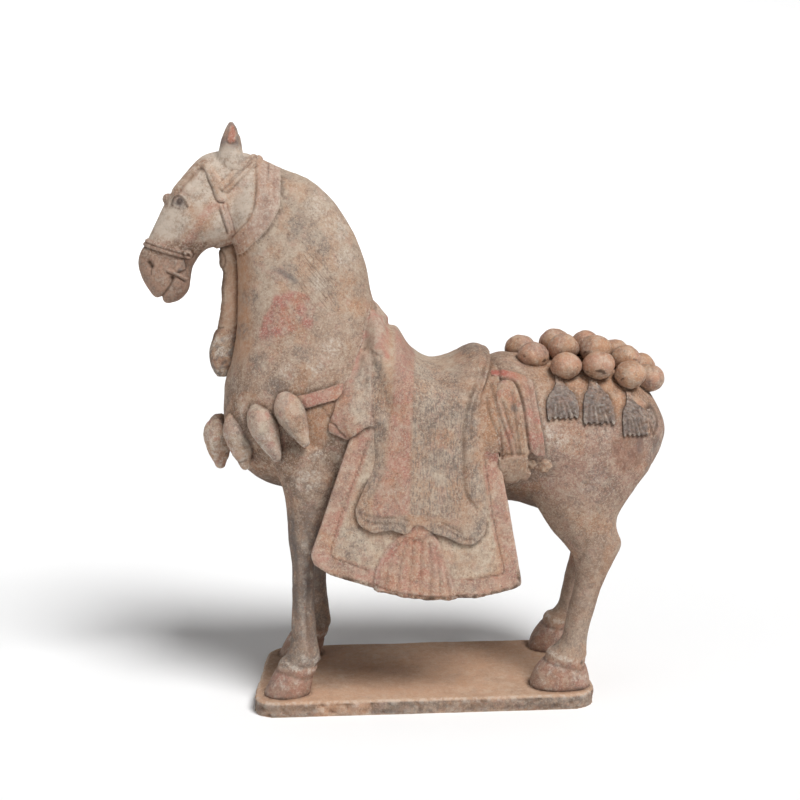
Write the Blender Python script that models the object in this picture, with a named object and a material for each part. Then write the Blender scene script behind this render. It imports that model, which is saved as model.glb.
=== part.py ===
"""A caparisoned pottery horse standing on its slab, as two fired pieces: the horse and the slab.

The horse faces -Y and shows its left side to +X. The origin is the middle of the slab's underside.
The figure is drawn in millimetres as (y, z) points, with its soles at DRAWN_SOLE, and is then
sized by HORSE_HEIGHT, HORSE_LENGTH and HORSE_WIDTH. What is modelled by hand on it, such as the
balls, the pendants and the cloth, has its own sizes.
"""

import math

import bmesh
import bpy
from mathutils import Matrix, Vector
from mathutils.bvhtree import BVHTree

MM = 0.001

# Overall sizes of the horse, in millimetres
HORSE_HEIGHT = 555.0
HORSE_LENGTH = 517.0
HORSE_WIDTH = 190.0

# Slab
SLAB_THICKNESS = 15.0
SLAB_END_MARGIN = 3.0
SLAB_SIDE_MARGIN = 5.0
SLAB_CORNER = 27.0
SLAB_FRONT_SKEW = 10.0
SLAB_EDGE_ROUND = 2.5
SOLE_GAP = 0.3

# Modelled pieces on the horse
BALL_DIAMETER = 28.5
PENDANT_LENGTH = 56.0
PENDANT_DIAMETER = 28.0
FLAP_THICKNESS = 9.0
CLOTH_RELIEF = 5.0
STRAP_RELIEF = 3.5
TASSEL_RELIEF = 6.0
GIRTH_BLOCK_RELIEF = 9.0
HOOF_HALF_WIDTH = 20.0
ROOTED_DEPTH = 12.0
PAD_SQUARE = 9.0

# The drawing that the figure's tables are in
DRAWN_HEIGHT = 555.0
DRAWN_LENGTH = 517.0
DRAWN_WIDTH = 190.0
DRAWN_SOLE = 15.0
NEAR_LEG_X = 53.0
FAR_LEG_X = -58.0

# Fineness of the fired surface, as shares of the height
SKIN_CELL = HORSE_HEIGHT / 205.0
SKIN_SHARE_KEPT = 0.046
RING_SIDES = 28

# Trunk: y, underside z, back z, half width, roundness
TRUNK = (
    (-191, 268, 318, 20, 2.0),
    (-182, 244, 342, 40, 2.1),
    (-162, 223, 360, 55, 2.2),
    (-130, 211, 368, 66, 2.2),
    (-90, 205, 366, 73, 2.2),
    (-40, 200, 356, 77, 2.2),
    (10, 198, 336, 79, 2.2),
    (60, 197, 332, 79, 2.1),
    (100, 192, 340, 79, 1.95),
    (140, 178, 339, 79, 1.8),
    (180, 186, 335, 75, 1.8),
    (210, 204, 322, 64, 1.9),
    (233, 227, 301, 46, 2.0),
    (246, 252, 277, 18, 2.0),
)

# Neck: throat y, z, crest y, z, half width, roundness, narrowing of the crest
NECK = (
    (-192, 476, -158, 540, 22, 2.1, 0.10),
    (-181, 458, -134, 529, 33, 2.2, 0.20),
    (-181, 430, -104, 516, 38, 2.3, 0.25),
    (-184, 395, -78, 492, 44, 2.3, 0.28),
    (-187, 360, -59, 460, 49, 2.3, 0.30),
    (-190, 325, -49, 429, 55, 2.3, 0.30),
    (-193, 292, -43, 398, 62, 2.3, 0.28),
    (-186, 258, -30, 368, 66, 2.3, 0.20),
    (-150, 236, -5, 335, 60, 2.2, 0.10),
)

# Head: brow or nose y, z, jaw y, z, half width, roundness, narrowing of the brow
HEAD = (
    (-176, 543, -150, 512, 13, 2.2, 0.0),
    (-192, 543, -156, 482, 23, 2.3, 0.0),
    (-207, 538, -172, 459, 27, 2.3, -0.05),
    (-222, 523, -188, 453, 28, 2.4, -0.05),
    (-235, 506, -203, 450, 27, 2.4, 0.10),
    (-245, 490, -211, 444, 23, 2.4, 0.15),
    (-254, 473, -216, 437, 20, 2.3, 0.15),
    (-262, 458, -219, 431, 18, 2.3, 0.10),
    (-269, 446, -221, 421, 18, 2.3, 0.0),
    (-271, 434, -224, 409, 18, 2.2, 0.0),
    (-267, 420, -233, 400, 16, 2.1, 0.0),
    (-259, 406, -244, 397, 9, 2.0, 0.0),
)

# Fore leg: z, front y, rear y, inward lean of its middle, half width
FORE_LEG = (
    (262, -150, -66, 16, 36),
    (238, -141, -74, 12, 33),
    (216, -134, -84, 8, 28),
    (196, -131, -93, 5, 23),
    (170, -130, -101, 2, 18.5),
    (145, -127.5, -105, 1, 16),
    (106, -128, -106, 0, 14.5),
    (84, -129, -105.5, 0, 14.5),
    (64, -131, -103.5, 0, 15.5),
    (48, -137, -101, 0, 17.5),
)

# Hind leg, the same way
HIND_LEG = (
    (296, 110, 196, 28, 30),
    (270, 88, 228, 21, 41),
    (240, 92, 230, 16, 40),
    (214, 104, 213, 12, 33),
    (190, 117, 196, 8, 25),
    (174, 127, 192, 5, 20),
    (158, 140, 197, 3, 17),
    (143, 150, 190, 2, 16),
    (122, 151, 180, 1, 14),
    (99, 146, 172, 0, 13),
    (77, 141, 166, 0, 13.5),
    (61, 137, 163, 0, 15),
    (47, 124, 162.5, 0, 18),
)

# Hoof below each leg: z, front y, rear y, share of HOOF_HALF_WIDTH
FORE_HOOF = (
    (52, -136, -102, 0.75),
    (44, -142, -104, 0.84),
    (34, -148, -108, 0.90),
    (15, -158, -112, 1.0),
    (9, -158, -112, 1.0),
)
HIND_HOOF = (
    (52, 127, 162, 0.75),
    (42, 120, 160, 0.84),
    (31, 111, 164, 0.93),
    (18, 106, 166.5, 1.0),
    (9, 107, 166.5, 1.0),
)

# How far the far legs stand behind the near ones
FAR_FORE_STEP = 10.0
FAR_HIND_STEP = 15.0
FAR_HIND_HEEL_CUT = 16.0

# Ear: z, front y, rear y, middle x, half width
EAR = (
    (536, -191, -164, 12, 9),
    (546, -189, -166.5, 14, 8),
    (555, -185.5, -168.5, 15, 6.5),
    (563, -181.5, -171, 15.5, 5),
    (570, -177, -174, 15.5, 2),
)
FAR_EAR_SHORTER = 6.0

# Noseband: nose y, z, jaw y, z, half width of the muzzle there, and half its own breadth
NOSEBAND = (-264, 456, -219, 438, 19)
NOSEBAND_HALF_BREADTH = 4.0

# Tassel down the throat: z, front y, rear y, half width
THROAT_TASSEL = (
    (453, -189, -172, 6),
    (431, -192, -172, 7),
    (400, -193.5, -174, 7),
    (378, -195.5, -176, 7),
    (366, -201, -178, 9),
    (347, -205.5, -181, 10.5),
    (332, -203, -184, 8),
    (324, -198, -188, 4),
)

# Saddle and the cloth over it: y, seat z, half width
SADDLE = (
    (-46, 393, 44),
    (-37, 388, 62),
    (-29, 373, 74),
    (-19, 370, 78),
    (-7, 351, 80),
    (12, 339, 81),
    (34, 342.5, 81),
    (55, 352, 79),
    (68, 347, 78),
    (84, 344.5, 79),
    (93, 343, 76),
)
SADDLE_FOOT = 236.0

# Outlines (y, z) of what lies on the side of the body
FLAP_TOP_Z = 292.0
FLAP_OUTLINE = (
    (-62, FLAP_TOP_Z), (-108, 162), (-105, 153), (-92, 144), (-48, 128), (-18, 120), (26, 116),
    (50, 117), (84, 125), (93, 129), (93, 135), (78, 223), (70, 262), (64, FLAP_TOP_Z),
)
FLAP_TOP_X = 72.0
FLAP_FLARE = 0.08
FLAP_BOW = 6.0
COVER_OUTLINE = (
    (-40, 352), (-46, 300), (-51, 264), (-62, 222), (-66, 202), (-62, 188), (-48, 182), (-30, 186),
    (-14, 180), (10, 181), (24, 176), (38, 169), (52, 174), (59, 190), (58, 226), (53, 268), (56, 330),
)
BLANKET_OUTLINE = (
    (-42, 384), (-54, 362), (-64, 338), (-80, 320), (-82, 308), (-92, 281), (-89, 277), (-70, 270),
    (-40, 268), (-30, 340),
)
CANTLE_ROLL_OUTLINE = ((56, 350), (69, 340), (68, 322), (53, 300), (42, 286), (44, 308), (52, 326))
FOLDED_CLOTH_OUTLINE = ((60, 327), (97, 326), (98, 254), (72, 250))
SIDE_STRIP_OUTLINE = ((100, 324), (113, 323), (119, 256), (102, 252))
GIRTH_BLOCK_OUTLINE = ((66, 250), (104, 250), (106, 225), (70, 222))
CHEST_STRAP_OUTLINE = ((-114, 312), (-78, 322), (-78, 312), (-113, 301))
NECK_BAND_OUTLINE = (
    (-155, 540), (-152, 523), (-151, 505), (-155, 487), (-161, 476), (-179, 459), (-170, 446),
    (-154, 458), (-143, 468), (-134, 481), (-130, 494), (-129, 507), (-131, 522), (-134, 530),
)
BRIDLE_OUTLINES = (
    ((-206, 533), (-196, 534), (-192, 520), (-184, 509), (-186, 494), (-192, 498), (-197, 515)),
    ((-158, 535), (-186, 511), (-186, 504), (-153, 529)),
    ((-190, 490), (-184, 490), (-178, 462), (-185, 462)),
)

# Tassels on the croup: neck y, z, half width, drop
CROUP_TASSELS = ((134, 323, 16, 37), (169, 322, 17, 43), (206, 306, 15, 41))

# Balls on the croup: x, y, z of each middle
BALLS = (
    (-22, 106, 344), (21, 113, 341),
    (-42, 142, 334), (-14, 140, 350), (14, 144, 348), (42, 142, 334),
    (-42, 174, 334), (-14, 171, 348), (14, 176, 346), (42, 174, 334),
    (-41, 204, 325), (-14, 201, 338), (14, 206, 336), (41, 205, 324),
    (-34, 227, 312), (-9, 227, 324), (18, 228, 317),
)

# Pendants round the chest: x, y, z of the top and of the tip of each near one
PENDANTS = (
    (69, -132, 314, 80, -111, 273),
    (61, -158, 304, 70, -139, 256),
    (41, -184, 294, 50, -172, 242),
    (15, -199, 290, 17, -204, 238),
)

# Small bosses on the bridle: x, y, z, diameter
BOSSES = (
    (0, -243, 500, 12),
    (19, -221, 446, 11), (-19, -221, 446, 11),
    (24, -200, 531, 12), (-24, -200, 531, 12),
)

POTTERY = (0.47, 0.36, 0.29, 1.0)
SLAB_CLAY = (0.45, 0.31, 0.22, 1.0)


def placed(x, y, z):
    """A point of the drawing, in metres, at the size and height that the horse stands at."""
    return Vector((
        x * HORSE_WIDTH / DRAWN_WIDTH * MM,
        y * HORSE_LENGTH / DRAWN_LENGTH * MM,
        ((z - DRAWN_SOLE) * HORSE_HEIGHT / DRAWN_HEIGHT + SLAB_THICKNESS + SOLE_GAP) * MM,
    ))


def smooth_rows(rows, steps=3):
    """Rows between the given ones, along a curve through all of them."""
    last = len(rows) - 1
    finer = []
    for index in range(last):
        before = rows[max(index - 1, 0)]
        start = rows[index]
        end = rows[index + 1]
        after = rows[min(index + 2, last)]
        for step in range(steps):
            t = step / steps
            row = []
            for a, b, c, d in zip(before, start, end, after):
                bend = (2 * a - 5 * b + 4 * c - d) * t * t + (3 * b - a - 3 * c + d) * t ** 3
                row.append(b + 0.5 * ((c - a) * t + bend))
            finer.append(row)
    finer.append(list(rows[last]))
    return finer


def ring(first, second, x_middle, half_width, roundness=2.0, narrowing=0.0):
    """A closed ring across the body, from one (y, z) point of its outline to the opposite one."""
    points = []
    for side in range(RING_SIDES):
        angle = 2 * math.pi * side / RING_SIDES
        along = math.copysign(abs(math.sin(angle)) ** (2 / roundness), math.sin(angle))
        across = math.copysign(abs(math.cos(angle)) ** (2 / roundness), math.cos(angle))
        width = half_width * (1 - narrowing * along)
        y = (first[0] + second[0]) / 2 - along * (first[0] - second[0]) / 2
        z = (first[1] + second[1]) / 2 - along * (first[1] - second[1]) / 2
        points.append(placed(x_middle + across * width, y, z))
    return points


def loft(bm, rings):
    """A closed skin through the rings, capped at both ends, added to bm."""
    base = bmesh.ops.create_circle(bm, segments=len(rings[0]), radius=MM, cap_ends=True)
    face = base["verts"][0].link_faces[0]
    first_edges = list(face.edges)
    for corner, point in zip(face.verts, rings[0]):
        corner.co = point
    for points in rings[1:]:
        face = bmesh.ops.extrude_discrete_faces(bm, faces=[face])["faces"][0]
        for corner, point in zip(face.verts, points):
            corner.co = point
    bmesh.ops.holes_fill(bm, edges=first_edges)


def trunk(bm):
    rings = []
    for y, low, high, half_width, roundness in smooth_rows(TRUNK):
        rings.append(ring((y, low), (y, high), 0, half_width, roundness))
    loft(bm, rings)


def spined_form(bm, rows):
    """The neck or the head: rings that lean with its spine."""
    rings = []
    for first_y, first_z, second_y, second_z, half_width, roundness, narrowing in smooth_rows(rows):
        rings.append(ring((first_y, first_z), (second_y, second_z), 0, half_width, roundness, narrowing))
    loft(bm, rings)


def leg(bm, leg_rows, hoof_rows, x_middle, step_back, heel_cut=0.0):
    """A leg and its hoof as two overlapping forms; step_back swings a far leg to the rear."""
    inward = -math.copysign(1, x_middle)
    top = leg_rows[0][0]
    bottom = leg_rows[-1][0]
    rings = []
    for z, front, rear, lean, half_width in smooth_rows(leg_rows):
        middle = x_middle + inward * lean
        step = step_back * min(1.0, 2 * (top - z) / (top - bottom))
        rings.append(ring((front + step, z), (rear + step, z), middle, half_width))
    loft(bm, rings)
    rings = []
    for z, front, rear, share in smooth_rows(hoof_rows, 2):
        heel = rear + step_back - heel_cut
        rings.append(ring((front + step_back, z), (heel, z), x_middle, share * HOOF_HALF_WIDTH, 2.3))
    loft(bm, rings)


def ear(bm, side, shorter):
    rings = []
    base = EAR[0][0]
    share = 1 - shorter / (EAR[-1][0] - base)
    for z, front, rear, x_middle, half_width in smooth_rows(EAR):
        height = base + (z - base) * share
        rings.append(ring((front, height), (rear, height), side * x_middle, half_width))
    loft(bm, rings)


def throat_tassel(bm):
    rings = []
    for z, front, rear, half_width in smooth_rows(THROAT_TASSEL):
        rings.append(ring((front, z), (rear, z), 0, half_width))
    loft(bm, rings)


def saddle(bm):
    rings = []
    for y, seat, half_width in smooth_rows(SADDLE):
        rings.append(ring((y, SADDLE_FOOT), (y, seat), 0, half_width, 2.2))
    loft(bm, rings)


def noseband(bm):
    """A raised band round the muzzle, a little wider all round than the head there."""
    nose_y, nose_z, jaw_y, jaw_z, half_width = NOSEBAND
    rings = []
    for share, proud in ((-1, 0.0), (-0.75, STRAP_RELIEF), (0.75, STRAP_RELIEF), (1, 0.0)):
        offset = share * NOSEBAND_HALF_BREADTH
        nose = (nose_y - proud - 0.4 * offset, nose_z + 0.5 * proud - 0.9 * offset)
        jaw = (jaw_y + 0.3 * proud - 0.2 * offset, jaw_z - 0.9 * offset)
        rings.append(ring(nose, jaw, 0, half_width + proud, 2.3))
    loft(bm, rings)


def ball(bm, x, y, z, diameter=BALL_DIAMETER):
    """A hand-rolled ball, a little flat where it was pressed on."""
    spot = Matrix.Translation(placed(x, y, z))
    flat = Matrix.Diagonal((1.0, 1.04, 0.94, 1.0))
    bmesh.ops.create_icosphere(bm, subdivisions=3, radius=diameter / 2 * MM, matrix=spot @ flat)


def pendant(bm, top, tip):
    """A teardrop that hangs from its narrow neck and ends in a blunt tip."""
    axis = (tip - top).normalized()
    across = axis.cross(Vector((0, 0, 1))).normalized()
    out = axis.cross(across)
    profile = ((-0.08, 0.30), (0.0, 0.62), (0.14, 0.90), (0.34, 1.0), (0.58, 0.82), (0.82, 0.50),
               (0.96, 0.30), (1.0, 0.14))
    rings = []
    for along, share in smooth_rows(profile, 2):
        middle = top + axis * along * PENDANT_LENGTH * MM
        radius = share * PENDANT_DIAMETER / 2 * MM
        points = []
        for side in range(RING_SIDES // 2):
            angle = 4 * math.pi * side / RING_SIDES
            points.append(middle + (across * math.cos(angle) + out * math.sin(angle)) * radius)
        rings.append(points)
    loft(bm, rings)


def side_of(tree, y, z, side):
    """The body's outermost x on one side, over a placed (y, z), or None past its outline."""
    reach = HORSE_WIDTH * MM
    hit = tree.ray_cast(Vector((side * reach, y, z)), Vector((-side, 0, 0)), reach)
    return None if hit[0] is None else hit[0].x


def panel(bm, outline, outer, inner):
    """A closed pad with the outline's shape, between the inner and outer x that two rules give.

    The pad is cut into squares before it is bent, so that it follows a curved side.
    """
    corners = []
    for y, z in outline:
        spot = placed(0, y, z)
        corners.append(bm.verts.new(spot))
    face = bm.faces.new(corners)
    pad = bmesh.ops.extrude_face_region(bm, geom=[face])["geom"]
    outside = [piece for piece in pad if isinstance(piece, bmesh.types.BMVert)]
    bmesh.ops.translate(bm, verts=outside, vec=(MM, 0, 0))
    whole = set()
    for vert in corners + outside:
        whole.update(vert.link_faces)
    geom = list(whole) + corners + outside
    for item in whole:
        geom.extend(item.edges)
    geom = list(dict.fromkeys(geom))
    square = PAD_SQUARE * MM
    for axis in (1, 2):
        values = [vert.co[axis] for vert in corners]
        count = int((max(values) - min(values)) / square)
        for index in range(1, count + 1):
            plane = Vector((0, 0, 0))
            plane[axis] = min(values) + index * square
            normal = Vector((0, 0, 0))
            normal[axis] = 1
            cut = bmesh.ops.bisect_plane(bm, geom=geom, plane_co=plane, plane_no=normal, dist=1e-6)
            geom = list(dict.fromkeys(cut["geom"]))
    for vert in [item for item in geom if isinstance(item, bmesh.types.BMVert)]:
        rule = outer if vert.co.x > MM / 2 else inner
        vert.co.x = rule(vert.co.y, vert.co.z)


def flap_outside(y, z):
    """The flap's outer x: it leaves the body as it hangs, and bows round the barrel."""
    drop = placed(0, 0, FLAP_TOP_Z).z - z
    half_breadth = placed(0, FLAP_OUTLINE[1][0], 0).y
    bow = (y / half_breadth) ** 2 * FLAP_BOW * MM
    return placed(FLAP_TOP_X, 0, 0).x + FLAP_THICKNESS * MM + drop * FLAP_FLARE - bow


def flaps(bm):
    for side in (1, -1):
        thickness = FLAP_THICKNESS * MM
        panel(bm, FLAP_OUTLINE,
              lambda y, z, side=side: side * flap_outside(y, z),
              lambda y, z, side=side: side * (flap_outside(y, z) - thickness))


def laid_on(bm, tree, outline, relief):
    """A pad on each of the body's sides, which stands proud of it by relief."""
    for side in (1, -1):
        def outer(y, z, side=side):
            surface = side_of(tree, y, z, side)
            return side * relief * MM if surface is None else surface + side * relief * MM

        def inner(y, z, side=side):
            surface = side_of(tree, y, z, side)
            return 0.0 if surface is None else surface - side * min(ROOTED_DEPTH * MM, abs(surface) * 0.7)

        panel(bm, outline, outer, inner)


def tassel_outline(neck_y, neck_z, half_width, drop):
    """A bell-shaped tassel with a lobed lower edge."""
    points = [(neck_y - 4, neck_z), (neck_y - 5, neck_z - 8), (neck_y - half_width * 0.9, neck_z - 18)]
    lobes = 5
    for lobe in range(lobes * 2 + 1):
        y = neck_y - half_width + half_width * lobe / lobes
        points.append((y, neck_z - drop + (1.5 if lobe % 2 == 0 else -1.5)))
    points += [(neck_y + half_width * 0.9, neck_z - 18), (neck_y + 5, neck_z - 8), (neck_y + 4, neck_z)]
    return points


def new_object(name, bm, colour):
    """An object that holds bm, shaded smooth, with its own fired-clay material."""
    bmesh.ops.recalc_face_normals(bm, faces=bm.faces[:])
    mesh = bpy.data.meshes.new(name)
    bm.to_mesh(mesh)
    bm.free()
    material = bpy.data.materials.new(name)
    material.use_nodes = True
    shader = material.node_tree.nodes["Principled BSDF"]
    shader.inputs["Base Color"].default_value = colour
    shader.inputs["Roughness"].default_value = 0.9
    mesh.materials.append(material)
    mesh.shade_smooth()
    item = bpy.data.objects.new(name, mesh)
    bpy.context.scene.collection.objects.link(item)
    return item


def add_animal(bm):
    """The bare animal, as overlapping closed forms."""
    trunk(bm)
    spined_form(bm, NECK)
    spined_form(bm, HEAD)
    leg(bm, FORE_LEG, FORE_HOOF, NEAR_LEG_X, 0.0)
    leg(bm, FORE_LEG, FORE_HOOF, FAR_LEG_X, FAR_FORE_STEP)
    leg(bm, HIND_LEG, HIND_HOOF, NEAR_LEG_X, 0.0)
    leg(bm, HIND_LEG, HIND_HOOF, FAR_LEG_X, FAR_HIND_STEP, FAR_HIND_HEEL_CUT)
    ear(bm, 1, 0.0)
    ear(bm, -1, FAR_EAR_SHORTER)


def add_saddlery(bm):
    """The saddle and its flaps, with the cover and the blanket that are draped over them."""
    saddle(bm)
    flaps(bm)
    tree = BVHTree.FromBMesh(bm)
    laid_on(bm, tree, COVER_OUTLINE, CLOTH_RELIEF)
    laid_on(bm, tree, BLANKET_OUTLINE, CLOTH_RELIEF)
    laid_on(bm, tree, CANTLE_ROLL_OUTLINE, CLOTH_RELIEF)


def add_harness(bm, bare):
    """What lies on the bare animal, whose surface is in the tree called bare."""
    laid_on(bm, bare, FOLDED_CLOTH_OUTLINE, CLOTH_RELIEF)
    laid_on(bm, bare, SIDE_STRIP_OUTLINE, CLOTH_RELIEF)
    laid_on(bm, bare, GIRTH_BLOCK_OUTLINE, GIRTH_BLOCK_RELIEF)
    laid_on(bm, bare, CHEST_STRAP_OUTLINE, STRAP_RELIEF)
    laid_on(bm, bare, NECK_BAND_OUTLINE, STRAP_RELIEF)
    for outline in BRIDLE_OUTLINES:
        laid_on(bm, bare, outline, STRAP_RELIEF)
    for tassel in CROUP_TASSELS:
        laid_on(bm, bare, tassel_outline(*tassel), TASSEL_RELIEF)
    noseband(bm)
    throat_tassel(bm)
    for piece in BALLS + BOSSES:
        ball(bm, *piece)
    for top_x, top_y, top_z, tip_x, tip_y, tip_z in PENDANTS:
        for side in (1, -1):
            pendant(bm, placed(side * top_x, top_y, top_z), placed(side * tip_x, tip_y, tip_z))


def sole_cutter(height):
    """A block whose top is the level that the soles are cut flat at."""
    bm = bmesh.new()
    size = 2 * HORSE_LENGTH * MM
    bmesh.ops.create_cube(bm, size=size, matrix=Matrix.Translation((0, 0, height - size / 2)))
    cutter = new_object("sole_cutter", bm, POTTERY)
    cutter.hide_render = True
    cutter.display_type = "WIRE"
    return cutter


def bounds_hollow(shell):
    """Whether a shell's faces look inwards, as they do round a hollow that is shut in."""
    faces = set()
    for vert in shell:
        faces.update(vert.link_faces)
    return sum(face.normal.dot(face.calc_center_median()) * face.calc_area() for face in faces) < 0


def fused(bm):
    """One skin round all the forms in bm, without the small hollows that they shut in."""
    forms = new_object("forms", bm, POTTERY)
    skin = forms.modifiers.new("fused skin", "REMESH")
    skin.mode = "VOXEL"
    skin.voxel_size = SKIN_CELL * MM
    skin.adaptivity = 0.0
    seen = forms.evaluated_get(bpy.context.evaluated_depsgraph_get())
    result = bmesh.new()
    result.from_mesh(seen.to_mesh())
    bpy.data.objects.remove(forms, do_unlink=True)
    unvisited = set(result.verts)
    hollows = []
    while unvisited:
        shell = []
        front = [unvisited.pop()]
        while front:
            vert = front.pop()
            shell.append(vert)
            for edge in vert.link_edges:
                other = edge.other_vert(vert)
                if other in unvisited:
                    unvisited.remove(other)
                    front.append(other)
        if bounds_hollow(shell):
            hollows += shell
    bmesh.ops.delete(result, geom=hollows, context="VERTS")
    bmesh.ops.smooth_vert(result, verts=result.verts[:], factor=0.5, use_axis_x=True,
                          use_axis_y=True, use_axis_z=True)
    return result


def build_horse():
    """All the forms fused into one skin, thinned to a light mesh, with the soles cut flat."""
    bm = bmesh.new()
    add_animal(bm)
    bare = BVHTree.FromBMesh(bm)
    add_saddlery(bm)
    add_harness(bm, bare)
    horse = new_object("horse", fused(bm), POTTERY)
    thin = horse.modifiers.new("thinned skin", "DECIMATE")
    thin.ratio = SKIN_SHARE_KEPT
    cut = horse.modifiers.new("flat soles", "BOOLEAN")
    cut.operation = "DIFFERENCE"
    cut.object = sole_cutter((SLAB_THICKNESS + SOLE_GAP) * MM)


def slab_half_sizes():
    """Half the slab's length and width, which reach past the hooves by the named margins."""
    toe = -placed(0, min(row[1] for row in FORE_HOOF), 0).y
    heel = placed(0, max(row[2] for row in HIND_HOOF), 0).y
    side = max(NEAR_LEG_X, -FAR_LEG_X)
    half_length = max(toe, heel) + SLAB_END_MARGIN * MM
    half_width = placed(side + HOOF_HALF_WIDTH, 0, 0).x + SLAB_SIDE_MARGIN * MM
    return half_length, half_width


def build_slab():
    """The flat slab, with its corners and upper edge worn round."""
    half_length, half_width = slab_half_sizes()
    bm = bmesh.new()
    size = Matrix.Diagonal((2 * half_width, 2 * half_length, SLAB_THICKNESS * MM, 1))
    middle = Matrix.Translation((0, 0, SLAB_THICKNESS * MM / 2))
    bmesh.ops.create_cube(bm, size=1, matrix=middle @ size)
    for corner in bm.verts:
        if corner.co.x < 0 and corner.co.y < 0:
            corner.co.y += SLAB_FRONT_SKEW * MM
    upright = [edge for edge in bm.edges if abs(edge.verts[0].co.z - edge.verts[1].co.z) > MM]
    bmesh.ops.bevel(bm, geom=upright, offset=SLAB_CORNER * MM, segments=6, profile=0.5,
                    affect="EDGES", material=-1)
    upper = [edge for edge in bm.edges if min(vert.co.z for vert in edge.verts) > SLAB_THICKNESS * MM / 2]
    bmesh.ops.bevel(bm, geom=upper, offset=SLAB_EDGE_ROUND * MM, segments=2, profile=0.5,
                    affect="EDGES", material=-1)
    new_object("base_slab", bm, SLAB_CLAY)


def main():
    for item in list(bpy.data.objects):
        bpy.data.objects.remove(item, do_unlink=True)
    build_slab()
    build_horse()


main()
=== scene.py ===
"""The looks of the caparisoned pottery horse and its slab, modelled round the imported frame.

The horse faces -Y and is seen from +X, its left side. Its forms, straps and painted places are
drawn in millimetres as (y, z) points on the side view, and placed() puts them where the frame's
horse stands. Each part of it is a clay skin that is pressed, raised and painted in turn.
"""

import math

import bmesh
import bpy
import numpy as np
from mathutils import Matrix, Vector, noise
from mathutils.bvhtree import BVHTree


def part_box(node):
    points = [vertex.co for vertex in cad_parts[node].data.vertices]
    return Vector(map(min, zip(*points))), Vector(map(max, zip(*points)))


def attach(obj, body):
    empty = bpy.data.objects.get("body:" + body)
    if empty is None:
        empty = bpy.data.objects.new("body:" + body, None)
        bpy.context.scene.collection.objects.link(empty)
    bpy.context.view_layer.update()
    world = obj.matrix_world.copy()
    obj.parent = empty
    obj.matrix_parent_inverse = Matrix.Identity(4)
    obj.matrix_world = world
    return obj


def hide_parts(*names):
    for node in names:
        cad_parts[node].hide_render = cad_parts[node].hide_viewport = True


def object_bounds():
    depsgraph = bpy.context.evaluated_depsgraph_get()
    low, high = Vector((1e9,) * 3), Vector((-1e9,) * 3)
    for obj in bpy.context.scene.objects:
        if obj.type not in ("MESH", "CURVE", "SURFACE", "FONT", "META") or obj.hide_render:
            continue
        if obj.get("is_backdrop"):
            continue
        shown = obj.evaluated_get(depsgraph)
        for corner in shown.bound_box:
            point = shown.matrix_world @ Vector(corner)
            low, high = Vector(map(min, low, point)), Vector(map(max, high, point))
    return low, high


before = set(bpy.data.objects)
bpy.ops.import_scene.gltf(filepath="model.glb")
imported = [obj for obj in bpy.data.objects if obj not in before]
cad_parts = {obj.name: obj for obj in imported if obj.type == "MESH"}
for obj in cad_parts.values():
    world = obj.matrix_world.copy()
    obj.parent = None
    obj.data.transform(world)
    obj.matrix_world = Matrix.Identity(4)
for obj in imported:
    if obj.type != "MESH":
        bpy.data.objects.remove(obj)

MM = 0.001
cad_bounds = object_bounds()

# The frame's horse and slab, and the drawing that is fitted to them
HORSE_LOW, HORSE_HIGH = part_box("horse")
SLAB_LOW, SLAB_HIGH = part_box("base_slab")
DRAWN_FRONT = -271.0
DRAWN_SOLE = 15.0
DRAWN_SIZE = Vector((189.8, 517.0, 554.3))
SCALE = Vector([(HORSE_HIGH[i] - HORSE_LOW[i]) / DRAWN_SIZE[i] for i in range(3)])
ORIGIN = Vector((0, HORSE_LOW.y - DRAWN_FRONT * SCALE.y, HORSE_LOW.z - DRAWN_SOLE * SCALE.z))

# Fineness of the skins, in millimetres, and how far a raised piece is rooted
BODY_CELL = 2.2
HEAD_CELL = 1.0
CLOTH_CELL = 1.4
FLAP_CELL = 1.5
STRAP_CELL = 1.1
TASSEL_CELL = 1.0
SLAB_CELL = 2.2
PAD_SQUARE = 6.0
ROOTED_DEPTH = 8.0
RING_SIDES = 48
ROUND_STEPS = 12

# Trunk: y, underside z, back z, half width, roundness
TRUNK = (
    (-191, 268, 318, 20, 2.0),
    (-182, 244, 342, 40, 2.1),
    (-162, 223, 360, 55, 2.2),
    (-130, 211, 368, 66, 2.2),
    (-90, 205, 366, 73, 2.2),
    (-40, 200, 356, 77, 2.2),
    (10, 198, 336, 79, 2.2),
    (60, 197, 337, 79, 2.1),
    (82, 194, 343.5, 79, 2.0),
    (100, 192, 342, 79, 1.95),
    (140, 178, 339, 79, 1.8),
    (180, 186, 335, 75, 1.8),
    (210, 204, 322, 64, 1.9),
    (233, 227, 301, 46, 2.0),
    (246, 252, 277, 18, 2.0),
)

# Neck: throat y, z, crest y, z, half width, roundness, narrowing of the crest
NECK = (
    (-190, 476, -158, 539, 22, 2.1, 0.10),
    (-178, 458, -134, 528, 32, 2.1, 0.10),
    (-175, 430, -104, 516, 37, 2.1, 0.12),
    (-176, 396, -78, 492, 43, 2.1, 0.15),
    (-179, 361, -59, 460, 49, 2.15, 0.20),
    (-187, 325, -49, 429, 55, 2.2, 0.25),
    (-193, 292, -43, 398, 62, 2.3, 0.28),
    (-186, 258, -30, 368, 66, 2.3, 0.20),
    (-150, 236, -5, 335, 60, 2.2, 0.10),
)
NECK_ROWS_IN_HEAD = 4

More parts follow.
